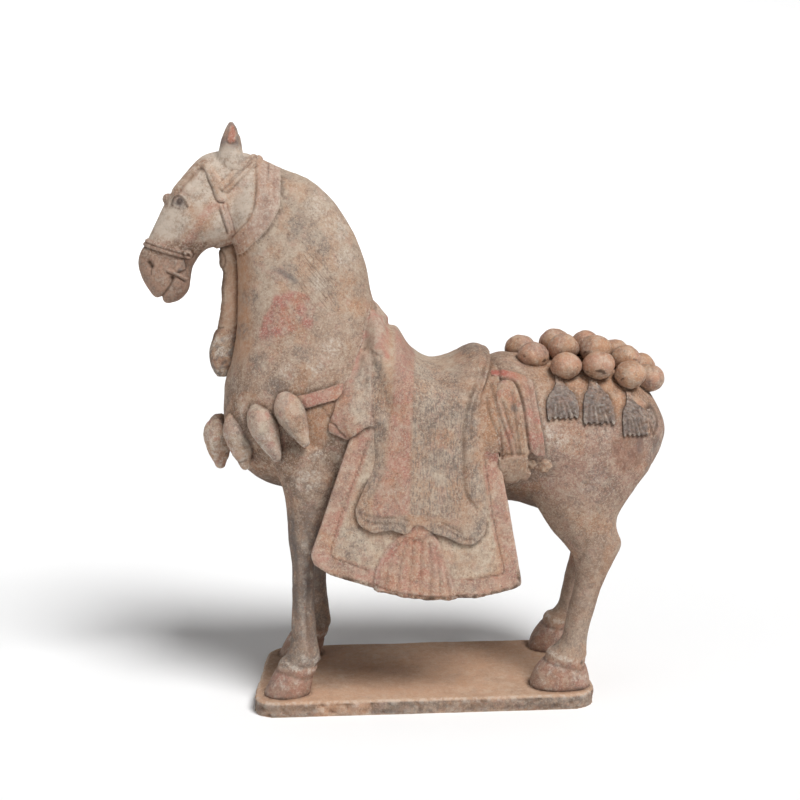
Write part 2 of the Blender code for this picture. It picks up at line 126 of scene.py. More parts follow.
# Head: brow or nose y, z, jaw y, z, half width, roundness, narrowing of the brow
HEAD = (
    (-150, 536, -138, 522, 9, 2.2, 0.0),
    (-163, 541, -143, 505, 15, 2.2, 0.0),
    (-177, 543, -149, 492, 19, 2.2, 0.0),
    (-192, 543, -156, 482, 23, 2.3, 0.0),
    (-207, 538, -172, 459, 27, 2.3, -0.05),
    (-222, 523, -188, 453, 28, 2.4, -0.05),
    (-235, 506, -203, 450, 27, 2.4, 0.10),
    (-245, 490, -211, 444, 23, 2.4, 0.15),
    (-254, 473, -216, 437, 20, 2.3, 0.15),
    (-262, 458, -219, 431, 18, 2.3, 0.10),
    (-269, 446, -221, 421, 18, 2.3, 0.0),
    (-271, 434, -224, 409, 18, 2.2, 0.0),
    (-267, 420, -233, 400, 16, 2.1, 0.0),
    (-259, 406, -244, 397, 9, 2.0, 0.0),
)

# Legs: z, front y, rear y, inward lean of the middle, half width
FORE_LEG = (
    (284, -138, -78, 26, 20),
    (262, -150, -66, 16, 36),
    (238, -141, -74, 12, 33),
    (216, -134, -84, 8, 28),
    (196, -131, -93, 5, 23),
    (170, -130, -101, 2, 18.5),
    (145, -127.5, -105, 1, 16),
    (106, -128, -106, 0, 14.5),
    (84, -129, -105.5, 0, 14.5),
    (64, -131, -103.5, 0, 15.5),
    (48, -137, -101, 0, 17.5),
)
HIND_LEG = (
    (296, 110, 196, 28, 30),
    (270, 88, 228, 21, 41),
    (240, 92, 230, 16, 40),
    (214, 104, 213, 12, 33),
    (190, 117, 196, 8, 25),
    (174, 127, 192, 5, 20),
    (158, 140, 197, 3, 17),
    (143, 150, 190, 2, 16),
    (122, 151, 180, 1, 14),
    (99, 146, 172, 0, 13),
    (77, 141, 166, 0, 13.5),
    (61, 137, 163, 0, 15),
    (47, 124, 162.5, 0, 18),
)

# Hooves: z, front y, rear y, half width; the last row lies below the cut sole
FORE_HOOF = (
    (52, -136, -102, 15), (44, -142, -104, 17), (34, -148, -108, 18), (15, -158, -112, 20),
    (8, -158, -112, 20),
)
HIND_HOOF = (
    (52, 127, 162, 15), (42, 120, 160, 17), (31, 111, 164, 18.6), (17, 106, 166.5, 20), (8, 107, 166.5, 20),
)
NEAR_LEG_X = 53.0
FAR_LEG_X = -58.0
FAR_FORE_STEP = 10.0
FAR_HIND_STEP = 15.0
FAR_HIND_HEEL_CUT = 16.0

# Ear: z, front y, rear y, middle x, half width
EAR = (
    (526, -190, -161, 12, 10),
    (536, -190.5, -164.5, 12.5, 9.5),
    (545, -188, -167.5, 14, 7.8),
    (554, -185.5, -168.5, 15, 6.5),
    (563, -181.5, -170, 15.5, 5),
    (570, -177.5, -174, 15.5, 2),
)
FAR_EAR_SHORTER = 6.0

# The boss on the brow: x, y, z, diameter
BROW_BOSS = (0, -239.5, 497.5, 12)

# Tassel down the throat: z, front y, rear y, half width
THROAT_TASSEL = (
    (457, -187, -174, 6),
    (449, -192, -170, 8.5),
    (434, -192.5, -169, 8.5),
    (426, -189.5, -169, 7.5),
    (415, -191, -168, 8.5),
    (398, -192, -169, 8.5),
    (384, -194, -171, 8.5),
    (374, -196.5, -173, 8),
    (364, -201, -176, 9.5),
    (347, -205.5, -178, 11),
    (332, -203, -181, 8.5),
    (324, -198, -187, 4),
)

TASSEL_CREASES = (
    ((-215, 373), (-203, 371), (-190, 373)),
    ((-196, 452), (-188, 446), (-186, 438), (-189, 431), (-196, 428)),
)

TASSEL_FRONT = (
    (-188, 455), (-193, 447), (-193.5, 434), (-190, 426), (-192, 415), (-193, 398), (-195, 384), (-197, 374),
    (-202, 364), (-207, 347), (-204, 332), (-198, 325),
)

# Saddle: y, seat z, half width, y at its foot
SADDLE = (
    (-47, 393, 58, -47),
    (-38, 388, 69, -39),
    (-29, 373, 76, -30),
    (-19, 370, 79, -20),
    (-7, 351, 80, -8),
    (12, 339, 81, 6),
    (34, 342.5, 81, 14),
    (54, 352, 79, 20),
    (65, 350.5, 77, 25),
    (72, 346, 74, 29),
)
SADDLE_FOOT = 236.0

# Mud flaps
FLAP_TOP_Z = 292.0
FLAP_OUTLINE = (
    (-62, FLAP_TOP_Z), (-108, 162), (-105, 153), (-92, 144), (-48, 130), (-41, 126), (-30, 123.5), (-19, 120),
    (-7, 119.5), (3, 117), (13, 118), (24, 116.5), (31, 119), (50, 118), (84, 125), (93, 129), (93, 135),
    (78.5, 223), (75, 243), (72, 259), (69.5, 265), (64, 267.5), (57, 269), (53.5, 273), (51, 282),
    (50, FLAP_TOP_Z),
)
FLAP_TOP_X = 72.0
FLAP_FLARE = 0.08
FLAP_BOW = 6.0
FLAP_THICKNESS = 9.0
FLAP_BORDER_FRONT = (
    (-52, 271), (-62, 242), (-74, 213), (-83, 187), (-88.5, 166), (-85, 160), (-77, 157), (-54, 148),
)
FLAP_BORDER_REAR = ((57, 262), (62, 227), (66, 195), (72, 165), (76, 146), (73, 141), (57, 139), (38, 136))
FLAP_BORDER = 19.0
FAN_LEFT = ((-13, 194), (-21, 184), (-33, 172), (-41, 161), (-47, 147), (-49, 128))
FAN_RIGHT = ((2, 193), (10, 181), (16, 169), (21, 153), (26, 137), (30, 119))
FAN_NECK = ((-15, 198), (6, 196), (8, 182), (-4, 177), (-21, 180))
FAN_RIBS = (
    ((-31, 168), (-42, 150), (-46, 134)),
    ((-25, 173), (-34, 152), (-38, 127)),
    ((-17, 175), (-23, 152), (-27, 124)),
    ((-10, 176), (-13, 152), (-16, 121)),
    ((-2, 174), (-4, 152), (-5, 121)),
    ((5, 173), (6, 152), (5, 119)),
    ((10, 170), (13, 152), (15, 119)),
    ((14, 166), (20, 146), (24, 118)),
)
FAN_MIDDLE = ((-8, 180), (-8, 118))
FLAP_RIM = ((-48, 135), (-34, 129), (-18, 125.5), (4, 122), (26, 121.5), (40, 122))
BROWN_CORNER = ((57, 266), (64, 266), (71, 261), (73, 247), (64, 248), (59, 255))
FLAP_GREY = ((-85, 167), (-69, 157), (-56, 151), (-50, 163), (-60, 190), (-78, 192))

# The band round the neck: its edges, and the line where the head's skin and the body's meet
BAND_FRONT = (
    (-153, 560), (-152, 523), (-152, 505), (-155, 487), (-161, 476), (-168, 469), (-177, 461), (-196, 453),
)
BAND_REAR = (
    (-129, 560), (-130, 518), (-130, 505), (-131, 491), (-135, 481), (-144, 468), (-154, 458),
    (-167, 447), (-198, 433),
)
BAND_MIDDLE = (
    (-142, 560), (-141, 518), (-141, 505), (-143, 490), (-148, 479), (-157, 468), (-165, 460),
    (-173, 453), (-198, 444),
)
BEHIND_BAND = (
    (-126, 600), (-123, 518), (-123, 503), (-124, 488), (-129, 476), (-139, 462), (-150, 451),
    (-164, 440), (-180, 430), (-200, 427), (-200, 200), (100, 200), (100, 600),
)
BAND_HEIGHT = 1.9
TUCKED_UNDER = 4.0

# Bridle straps and marks on the head
BROW_STRAP = ((-204, 531), (-213, 524), (-223, 513), (-231, 505))
KNOB_STRAP = ((-200, 528), (-193.5, 519), (-188.5, 508), (-185.5, 499.5))
KNOB_CREASE = (
    (-209, 524.5), (-205, 526.5), (-200.5, 522.5), (-198.5, 515), (-195, 507.5), (-191, 496), (-184.5, 494),
)
EAR_STRAP = ((-154, 535), (-168, 523), (-182, 509.5))
THROAT_LASH = ((-184.5, 490), (-180.5, 476), (-178, 465))
THROAT_LASH_CREASE = ((-188.5, 487), (-185, 475), (-182, 465))
NOSEBAND = ((-271, 460), (-264, 457.5), (-243, 451), (-228, 446.5), (-220, 444.5))
NOSEBAND_RING = (-221, 446)
RING_RADIUS = 2.8
CHEEK_PLATE = ((-234.5, 440), (-225, 440), (-224.5, 430.5), (-233.5, 428.5))
RIVET = (-230, 431)
BIT_BAR = ((-241, 430.5), (-233, 427), (-225, 421.5))
CHEEK_PAINT = ((-186, 494), (-196, 489), (-206, 478), (-214, 465), (-223, 453))
EYE_OPENING = (
    (-232.5, 497), (-231, 500.5), (-227, 502), (-223, 499), (-220.5, 494), (-221.5, 491), (-225, 490),
    (-229.5, 492), (-232.5, 494.5),
)
UPPER_LID = ((-233.5, 493.5), (-232, 499), (-227, 502), (-222, 498.5), (-219, 492))
LOWER_LID = ((-233.5, 493), (-229, 490), (-224, 489.3), (-219, 491.5))
EYE_MIDDLE = (-226.5, 496)
IRIS = (-226, 495.8)
BROW_RIDGE = ((-243, 500), (-235, 509), (-224, 511), (-213, 504))
EYE_SHADE = ((-218, 500), (-210, 494), (-205, 485), (-213, 480), (-221, 487))
NOSTRIL = ((-258.6, 438), (-256.4, 434.5))
NOSTRIL_SLIT = ((-256.4, 434), (-257, 426))
MOUTH = ((-235.5, 425), (-236.5, 420), (-240, 414), (-244, 409), (-247.5, 405), (-250, 401.5))
MOUTH_CORNER = (-236.5, 423)
LIP_NOTCH = (-250.5, 401)
CHIN_FOLD = ((-240, 419), (-233, 411), (-227, 413))
EAR_PATCH = ((-175, 567), (-178, 562), (-180, 553), (-177, 549.5), (-172, 550.5), (-171, 559), (-172.5, 566))
CHEEK = (-201, 474)
FACE_CREAM = (
    (-215, 511, 8), (-241, 472, 10), (-196, 462, 7), (-165, 495, 9), (-180, 545, 6), (-233, 485, 7),
    (-207, 487, 6),
)

# Marks on the neck and the body
RED_SPOT = (
    (-152, 366), (-146, 384), (-139, 398), (-130, 406), (-118, 409), (-106, 404), (-99, 393), (-103, 380),
    (-112, 373), (-122, 374), (-134, 362),
)
RED_ARC = ((-150, 369), (-146, 382), (-139, 395), (-130, 405), (-118, 408), (-107, 404))
RED_DABS = (
    (-134, 402, 6), (-122, 404, 6), (-129, 396, 5), (-143, 385, 6), (-147, 372, 6), (-127, 383, 7),
    (-131, 391, 4), (-113, 394, 6), (-107, 381, 6), (-122, 377, 5), (-136, 374, 6), (-116, 402, 4),
)
SCRATCHED = ((-122, 441), (-96, 452), (-76, 414), (-84, 388), (-100, 394), (-116, 418))
NECK_INK = ((-133, 430), (-124, 425), (-117, 420))
CHALK_DABS = (
    (-84, 356, 13), (-94, 491, 14), (-76, 470, 16), (-100, 340, 10), (-110, 234, 14), (-70, 440, 12),
    (-126, 336, 9), (-96, 418, 8),
)
GREY_DABS = (
    (-122, 428, 9), (-155, 342, 13), (-114, 353, 10), (-93, 453, 14), (-163, 404, 9), (-138, 320, 12),
    (-118, 470, 11), (-170, 372, 9),
)
OCHRE_DABS = ((-129, 416, 8), (-70, 416, 12), (-60, 395, 10), (-136, 448, 8))
OCHRE_PATCH = (
    (-116, 298), (-99, 304), (-83, 308), (-87, 294), (-88, 281), (-93, 266), (-110, 260), (-118, 272),
)
PENDANT_SHADE = ((-182, 262), (-160, 262), (-136, 268), (-118, 258), (-122, 240), (-150, 232), (-176, 240))
OCHRE_CRACKS = (
    ((-117, 312), (-109, 301), (-99, 306), (-84, 309)),
    ((-99, 306), (-92, 300), (-87, 292)),
)
RUMP_PALE = ((108, 314), (116, 316), (118, 285), (140, 272), (136, 258), (116, 262), (108, 285))
RUMP_SHADE = ((180, 268), (203, 270), (214, 266), (219, 252), (215, 238), (193, 232), (182, 246))
RUMP_INK = (
    ((210, 269), (211, 259), (210, 253)),
    ((226, 290), (224, 280), (226, 272)),
    ((232, 262), (229, 250)),
)
RUMP_STREAK = ((171, 261), (179, 236), (193, 206))
GASKIN_LINE = ((124, 197), (138, 178), (149, 160))
HOCK_LINE = ((153, 143), (158, 151), (160, 165))
FORE_CORONET = ((-148, 46), (-132, 46), (-119, 41), (-102, 38))
HIND_CORONET = ((118, 50), (128, 48), (138, 46), (148, 43), (156, 41), (164, 46))
FETLOCK_HOLE = (156, 41)
LEG_FLUTE = ((-107, 150), (-110, 134), (-112, 112), (-113, 86), (-110, 61))
CORONET_DROP = 7.0

# Straps on the near flank, mirrored on the far one
CHEST_STRAP = (
    (-119, 313), (-110, 315), (-95, 318.5), (-79, 324), (-73, 324.5), (-75, 314), (-81, 309), (-99, 304.5),
    (-110, 301), (-118, 304),
)
FOLDED_CLOTH = (
    (69, 325), (77, 326), (89, 325), (96, 320), (99, 292), (104, 257), (100, 254.5), (89, 253.5),
    (74, 253), (69, 276), (65, 304),
)
CLOTH_FOLDS = (
    ((67, 320), (70, 305), (75, 287), (82, 266), (84, 256)),
    ((62, 308), (64, 293), (71, 275), (74, 260)),
    ((77, 304), (81, 287), (86, 270), (89, 256)),
    ((86, 314), (88, 288), (90, 270), (92, 256)),
)
BARE_CLOTH = ((60, 308), (68, 313), (75, 287), (82, 266), (86, 254), (73, 254), (64, 275), (58, 291))
PEACH_FOLD = ((72, 312), (78, 300), (83, 283), (88, 268), (90, 254), (85, 254), (79, 272), (74, 290))
CLOTH_TOP = ((70, 324), (92, 323), (93, 311), (84, 309), (72, 312))
CLOTH_SPOTS = (("red", 86, 307, 4.5), ("red", 92, 302, 3), ("grey", 87, 299, 5), ("ink", 87, 299, 3.5))
CLOTH_GAP = ((71, 323.5), (84, 325), (91, 321), (96, 303), (98, 281), (101, 259), (105, 253))
CLOTH_FOOT = ((78, 256), (96, 256))
RED_STRAP = (
    (68, 331.5), (80, 332), (92, 329.5), (103, 325.5), (103, 319.5), (92, 322.5), (80, 326.5), (68, 326.5),
)
RIBBED_STRIP = (
    (96, 323), (104, 325), (108, 321), (110, 298), (116.5, 257), (116, 253), (106, 254), (102, 262),
    (98, 282), (96, 305),
)
STRIP_MIDDLE = ((102.5, 326), (104.5, 300), (108, 273), (111, 256))
GIRTH_BLOCK = (
    (71, 252), (86, 253.5), (99, 253), (100.5, 246), (100, 240), (103.5, 237), (102, 230), (98, 228),
    (94, 229), (91, 226), (78, 224), (73, 238),
)
GIRTH_LUMPS = (
    ((110, 246), (116, 250), (122, 249), (125, 241), (120, 234), (112, 235)),
    ((100, 249), (107, 250), (110, 244), (107, 238), (101, 239)),
)
LUMPS_MIDDLE = ((103, 244), (117, 243))
CLOTH_SEAM = ((69, 326), (68, 304), (71, 276), (73, 254), (71, 240), (76, 224))
GIRTH_SMEAR = ((110, 236), (121, 236), (120, 214), (112, 215))
GIRTH_HOLLOW = (105, 229)
SADDLE_SKIRT = (
    (40, 262), (43, 290), (52, 308), (61, 324), (71, 338), (77, 332), (74, 300), (77, 276), (77, 258),
    (60, 254),
)

# The cover over the saddle
COVER_LEFT = (
    (-46, 352), (-46, 320), (-46, 295), (-46, 274), (-46, 262), (-46.5, 250), (-49, 242), (-54, 232),
    (-60, 219), (-65, 207), (-64, 197), (-60, 190),
)
COVER_BOTTOM = (
    (-48, 184), (-40, 185), (-32, 187), (-23, 184), (-17, 182), (-10, 190), (-2, 190), (6, 184), (14, 181),
    (23, 178), (32, 173), (40, 171), (48, 172),
)
COVER_RIGHT = (
    (53, 175), (58, 181), (60.5, 194), (60, 208), (58.5, 226), (57, 245), (55.5, 262), (53, 276), (51, 292),
    (52, 305),
)
COVER_SOFT_EDGES = (
    ((-46, 285), (-46, 262), (-46.5, 250), (-50, 239)),
    ((51, 292), (55.5, 262), (58.5, 226), (60, 208), (60.5, 196)),
)
COVER_HEMS = (
    ((-40, 240), (-46, 226), (-53, 217), (-56.5, 207), (-54, 201), (-42, 199.5), (-27, 199), (-15, 196)),
    ((-51, 231), (-57, 221), (-61, 209), (-58, 198), (-44, 194), (-28, 194), (-17, 190)),
    ((4, 197), (15, 194), (27, 188), (36, 182)),
    ((6, 190), (18, 188), (30, 181), (42, 176), (50, 180)),
)
COVER_FOLD = (
    (62, 336), (54, 324), (46, 311), (41, 292), (38, 276), (38.5, 248), (38, 229), (42, 216), (50, 206),
)
PINK_STRIPE = (
    (-23, 372), (-2, 354), (-7, 329), (-9, 310), (-11, 282), (-12, 254), (-12, 233), (-14, 202), (-45, 199),
    (-50, 209), (-48, 219), (-40, 234), (-35, 254), (-33, 273), (-29, 302), (-27, 325),
)
STRIPE_EDGES = (
    ((-27, 340), (-27, 325), (-29, 302), (-33, 273), (-35, 254), (-40, 234), (-48, 219), (-51, 209)),
    ((-5, 345), (-7, 329), (-9, 310), (-11, 282), (-12, 254), (-12, 233), (-14, 202)),
)
COVER_GREYS = (
    ((-46, 349), (-39, 345), (-34, 330), (-31, 311), (-33, 292), (-37, 273), (-48, 268), (-49, 302),
     (-48, 325)),
    ((-40, 240), (-46, 226), (-53, 217), (-56, 207), (-52, 199), (-15, 194), (-16, 183), (-32, 185),
     (-49, 186), (-64, 197), (-65, 207), (-60, 219), (-53, 234), (-46, 244)),
    ((-45, 262), (-37, 262), (-38, 248), (-44, 246)),
    ((4, 195), (25, 189), (40, 180), (53, 194), (59, 213), (58, 189), (51, 172), (38, 172), (21, 179),
     (6, 185)),
    ((38, 300), (52, 310), (53, 280), (52, 262), (40, 262), (39, 280)),
    ((41, 248), (52, 248), (58, 214), (50, 206), (42, 222)),
)
BRUSHED_FIELD = ((-6, 345), (34, 330), (38, 300), (38, 227), (34, 196), (-14, 202), (-12, 250), (-9, 310))
OCHRE_STRIPE = (
    (-31, 376), (-24, 372), (-24, 348), (-25, 311), (-28, 273), (-33, 273), (-31, 311), (-33, 339),
    (-36, 367),
)
BLANKET = (
    (-28, 380), (-33, 386), (-38, 393), (-45, 400), (-51, 382), (-57, 361), (-65, 341), (-75, 324),
    (-83, 309), (-84, 298), (-89, 287), (-89, 279), (-80, 275), (-70, 271), (-63, 277), (-52, 284),
    (-40, 286), (-30, 340),
)
BLANKET_TOP_EDGE = ((-44, 402), (-51, 382), (-57, 361), (-65, 341), (-74, 324))
BLANKET_FOLDS = (
    ((-42, 384), (-47, 362), (-52, 339), (-57, 312), (-60, 290)),
    ((-46, 376), (-56, 348), (-66, 322), (-72, 300)),
)
BLANKET_CRACK = ((-87, 289), (-82, 286), (-79, 281), (-73, 275))
BLANKET_PALE = ((-64, 328), (-57, 345), (-46, 350), (-46, 327), (-49, 287), (-64, 287), (-68, 305))
CANTLE_ROLL = (
    (58, 352), (70, 349), (67, 338), (62, 325), (56, 311), (52, 290), (51, 270), (39, 262), (38, 276),
    (41, 292), (46, 312), (54, 330),
)
CANTLE_GROOVE = ((66, 343), (61, 331), (55, 318), (49, 303), (46, 288), (45, 272))
CANTLE_DABS = ((47, 349, 7), (56, 352, 5), (66, 349, 6), (62, 330, 4))
CANTLE_EDGE = ((78, 345), (73, 338), (64, 325), (58, 316))

# Tassels on the croup: each one's top and right edge down to its foot, then its left edge back up
CROUP_TASSELS = (
    (
        ((131, 325), (138, 325), (138.5, 318), (143, 313), (147.5, 309), (150, 303), (150.5, 292)),
        ((118.5, 291), (119, 303), (122, 309), (127, 313), (130.5, 318)),
    ),
    (
        ((164, 324), (171, 324), (171.5, 317), (176, 311.5), (181, 307), (184, 300), (185.5, 285)),
        ((153.5, 286), (155, 301), (157, 307), (161, 312), (163.5, 318)),
    ),
    (
        ((199.5, 309), (205, 308), (206, 301), (211, 296), (217, 292), (220, 285), (221.5, 271)),
        ((192, 273), (192.5, 288), (194.5, 294), (198, 298), (199, 303)),
    ),
)
TASSEL_FOOT_DROP = 4.5
TASSEL_LOBES = 6
REAR_TASSEL = (
    (220, 290), (225, 291), (229, 287), (231, 280), (230, 272), (226.5, 267), (224, 273), (222, 282),
)
REAR_TASSEL_LINE = ((219, 292), (224, 292), (229, 288), (231.5, 280), (230, 272), (226, 267))

# Balls on the croup: x, y, z
BALL_DIAMETER = 29.5
BALLS = (
    (-22, 106, 344), (21, 113, 341),
    (-42, 142, 334), (-14, 140, 350), (14, 144, 348), (42, 142, 334),
    (-42, 174, 334), (-14, 171, 348), (14, 176, 346), (42, 174, 334),
    (-41, 204, 325), (-14, 201, 338), (14, 206, 336), (41, 205, 324),
    (-34, 227, 312), (-9, 227, 324), (18, 228, 317),
)

# Pendants round the chest: x, y, z of the top and of the tip of each near one
PENDANT_DIAMETER = 28.0
PENDANTS = (
    (69, -131, 313, 80, -109.5, 267),
    (61, -157, 301, 70, -137, 251),
    (41, -180, 290, 50, -168.5, 240),
    (15, -200, 280, 17, -196, 235),
)
PENDANT_PROFILE = (
    (-0.08, 0.30), (0.0, 0.62), (0.14, 0.90), (0.34, 1.0), (0.58, 0.82), (0.82, 0.50), (0.96, 0.30),
    (1.0, 0.14),
)
PENDANT_CREASE = ((-190, 250), (-178, 247), (-168, 250))

# Heights of what is laid on, in millimetres, and how much of the cover's goes at its smooth edges
COVER_RELIEF = 4.5
COVER_REAR_THINNED = 3.3
COVER_FRONT_THINNED = 3.9
COVER_THIN_WIDTH = 12.0
BLANKET_RELIEF = 3.2
BLANKET_SPAN = 14.0
ROLL_RELIEF = 4.5
CLOTH_RELIEF = 5.0
SKIRT_RELIEF = 3.5
STRAP_RELIEF = 3.0
TASSEL_RELIEF = 3.4
REAR_TASSEL_RELIEF = 0.7
LUMP_RELIEF = 2.4
BLOCK_RELIEF = 9.0

# The slab
SLAB_CORNER = 27.0
SLAB_FRONT_SKEW = 10.0
SLAB_CRACK = ((-104, 11), (-92, 13), (-74, 12), (-62, 14), (-52, 13.5), (-51, 4))

# What the surface is painted or marked with, each kept as an attribute of the mesh
COATS = (
    "cream", "pink", "red", "grey", "ochre", "umber", "chalk", "ink", "brushed", "scratched", "dirt",
    "hollow", "edge", "contact", "calm",
)
LEVELLING_ROUNDS = 5
CONTACT_REACH = 4.5
LIES_FLAT = 0.6
HOOF_UMBER = 0.35
PATCH_SHIFT = (1, 0.7, 1.3)

# Edges beside which little contact dirt and painted shade is kept: path, where they are kept again, where
# none are, and how much goes
FAINT_CONTACT_EDGES = (
    (BLANKET_TOP_EDGE, 8, 5, 0.85),
    (CLOTH_SEAM, 8, 4, 0.9),
    (LUMPS_MIDDLE, 14, 9, 0.6),
    *((edge, 6, 3, 0.85) for edge in COVER_SOFT_EDGES),
)

pieces = []


def fade(value, start, end):
    """A smooth step from 0 at start to 1 at end."""
    share = np.clip((value - start) / (end - start), 0, 1)
    return share * share * (3 - 2 * share)


def placed(x, y, z):
    """A point of the drawing, where the frame's horse has it."""
    return Vector((x * SCALE.x, y * SCALE.y, z * SCALE.z)) + ORIGIN


def shifted(path, dy, dz=0.0):
    return [(y + dy, z + dz) for y, z in path]


def between(first, last, share):
    return tuple(a + (b - a) * share for a, b in zip(first, last))


def smooth_rows(rows, steps=3):
    """Rows between the given ones, along a curve through all of them."""
    last = len(rows) - 1
    finer = []
    for index in range(last):
        before = rows[max(index - 1, 0)]
        after = rows[min(index + 2, last)]
        for step in range(steps):
            t = step / steps
            row = []
            for a, b, c, d in zip(before, rows[index], rows[index + 1], after):
                bend = (2 * a - 5 * b + 4 * c - d) * t * t + (3 * b - a - 3 * c + d) * t ** 3
                row.append(b + 0.5 * ((c - a) * t + bend))
            finer.append(tuple(row))
    finer.append(tuple(rows[last]))
    return finer


def ring(first, second, x_middle, half_width, roundness=2.0, narrowing=0.0):
    """A closed ring across the body, from one (y, z) point of its outline to the opposite one."""
    points = []
    for side in range(RING_SIDES):
        angle = 2 * math.pi * side / RING_SIDES
        along = math.copysign(abs(math.sin(angle)) ** (2 / roundness), math.sin(angle))
        across = math.copysign(abs(math.cos(angle)) ** (2 / roundness), math.cos(angle))
        width = half_width * (1 - narrowing * along)
        y, z = between(first, second, (1 + along) / 2)
        points.append(placed(x_middle + across * width, y, z))
    return points


def loft(bm, rings):
    """A closed skin through the rings, capped at both ends."""
    base = bmesh.ops.create_circle(bm, segments=len(rings[0]), radius=MM, cap_ends=True)
    face = base["verts"][0].link_faces[0]
    first_edges = list(face.edges)
    for corner, point in zip(face.verts, rings[0]):
        corner.co = point
    for points in rings[1:]:
        face = bmesh.ops.extrude_discrete_faces(bm, faces=[face])["faces"][0]
        for corner, point in zip(face.verts, points):
            corner.co = point
    bmesh.ops.holes_fill(bm, edges=first_edges)


def trunk(bm):
    rings = []
    for y, low, high, half_width, roundness in smooth_rows(TRUNK):
        rings.append(ring((y, low), (y, high), 0, half_width, roundness))
    loft(bm, rings)


def spined_form(bm, rows):
    """The neck or the head: rings that lean with its spine."""
    loft(bm, [ring(row[:2], row[2:4], 0, *row[4:]) for row in smooth_rows(rows)])


def leg(bm, leg_rows, hoof_rows, x_middle, step_back, heel_cut=0.0):
    """A leg and its hoof as two overlapping forms; step_back swings a far leg to the rear."""
    inward = -math.copysign(1, x_middle)
    top = leg_rows[0][0]
    bottom = leg_rows[-1][0]
    rings = []
    for z, front, rear, lean, half_width in smooth_rows(leg_rows):
        step = step_back * min(1.0, 2 * (top - z) / (top - bottom))
        rings.append(ring((front + step, z), (rear + step, z), x_middle + inward * lean, half_width))
    loft(bm, rings)
    rings = []
    for z, front, rear, half_width in smooth_rows(hoof_rows, 2):
        heel = rear + step_back - heel_cut
        rings.append(ring((front + step_back, z), (heel, z), x_middle, half_width, 2.3))
    loft(bm, rings)


def ear(bm, side, shorter):
    rings = []
    base = EAR[0][0]
    share = 1 - shorter / (EAR[-1][0] - base)
    for z, front, rear, x_middle, half_width in smooth_rows(EAR):
        height = base + (z - base) * share
        rings.append(ring((front, height), (rear, height), side * x_middle, half_width))
    loft(bm, rings)


def clay_ball(bm, x, y, z, diameter, flat, subdivisions=3):
    spot = Matrix.Translation(placed(x, y, z))
    shape = Matrix.Diagonal((*flat, 1.0))
    bmesh.ops.create_icosphere(bm, subdivisions=subdivisions, radius=diameter / 2 * MM, matrix=spot @ shape)


def saddle(bm):
    rows = smooth_rows(SADDLE)
    loft(bm, [ring((foot, SADDLE_FOOT), (y, seat), 0, half_width, 2.2) for y, seat, half_width, foot in rows])


def add_body(bm):
    trunk(bm)
    spined_form(bm, NECK)
    leg(bm, FORE_LEG, FORE_HOOF, NEAR_LEG_X, 0.0)
    leg(bm, FORE_LEG, FORE_HOOF, FAR_LEG_X, FAR_FORE_STEP)
    leg(bm, HIND_LEG, HIND_HOOF, NEAR_LEG_X, 0.0)
    leg(bm, HIND_LEG, HIND_HOOF, FAR_LEG_X, FAR_HIND_STEP, FAR_HIND_HEEL_CUT)


def side_of(tree, y, z, side):
    """The surface's outermost x on one side, over a placed (y, z), or None past its outline."""
    reach = HORSE_HIGH.x - HORSE_LOW.x
    hit = tree.ray_cast(Vector((side * reach, y, z)), Vector((-side, 0, 0)), reach)
    return None if hit[0] is None else hit[0].x


def panel(bm, outline, outer, inner):
    """A closed pad with the outline's shape, between the inner and outer x that two rules give.

    The pad is cut into squares before it is bent, so that it follows a curved side.
    """
    corners = [bm.verts.new(placed(0, y, z)) for y, z in outline]
    face = bm.faces.new(corners)
    pad = bmesh.ops.extrude_face_region(bm, geom=[face])["geom"]
    outside = [piece for piece in pad if isinstance(piece, bmesh.types.BMVert)]
    bmesh.ops.translate(bm, verts=outside, vec=(MM, 0, 0))
    whole = set()
    for vert in corners + outside:
        whole.update(vert.link_faces)
    geom = list(whole) + corners + outside
    for item in whole:
        geom.extend(item.edges)
    geom = list(dict.fromkeys(geom))
    square = PAD_SQUARE * MM
    for axis in (1, 2):
        values = [vert.co[axis] for vert in corners]
        for index in range(1, int((max(values) - min(values)) / square) + 1):
            plane = Vector((0, 0, 0))
            plane[axis] = min(values) + index * square
            normal = Vector((0, 0, 0))
            normal[axis] = 1
            cut = bmesh.ops.bisect_plane(bm, geom=geom, plane_co=plane, plane_no=normal, dist=1e-6)
            geom = list(dict.fromkeys(cut["geom"]))
    for vert in [item for item in geom if isinstance(item, bmesh.types.BMVert)]:
        rule = outer if vert.co.x > MM / 2 else inner
        vert.co.x = rule(vert.co.y, vert.co.z)


def laid_on(bm, tree, outline, relief, span=0.0, thinned=None):
    """A pad on both sides of the horse, proud of the surface by relief, with hollows bridged by span.

    The rule thinned gives how much of the relief goes at a place, in millimetres.
    """
    edge = [placed(0, y, z)[1:] for y, z in outline]
    for side in (1, -1):
        def outer(y, z, side=side):
            surface = side_of(tree, y, z, side)
            inside = depth_in(np.array([y]), np.array([z]), edge)[0]
            reach = min(span * MM, max(inside, 0.0))
            ahead = side_of(tree, y - reach, z, side)
            behind = side_of(tree, y + reach, z, side)
            if span and surface is not None and ahead is not None and behind is not None:
                surface = side * max(side * surface, side * (ahead + behind) / 2)
            proud = relief - (thinned(y, z, inside / MM) if thinned else 0.0)
            return side * proud * MM if surface is None else surface + side * proud * MM

        def inner(y, z, side=side):
            surface = side_of(tree, y, z, side)
            return 0.0 if surface is None else surface - side * min(ROOTED_DEPTH * MM, abs(surface) * 0.7)

        panel(bm, outline, outer, inner)


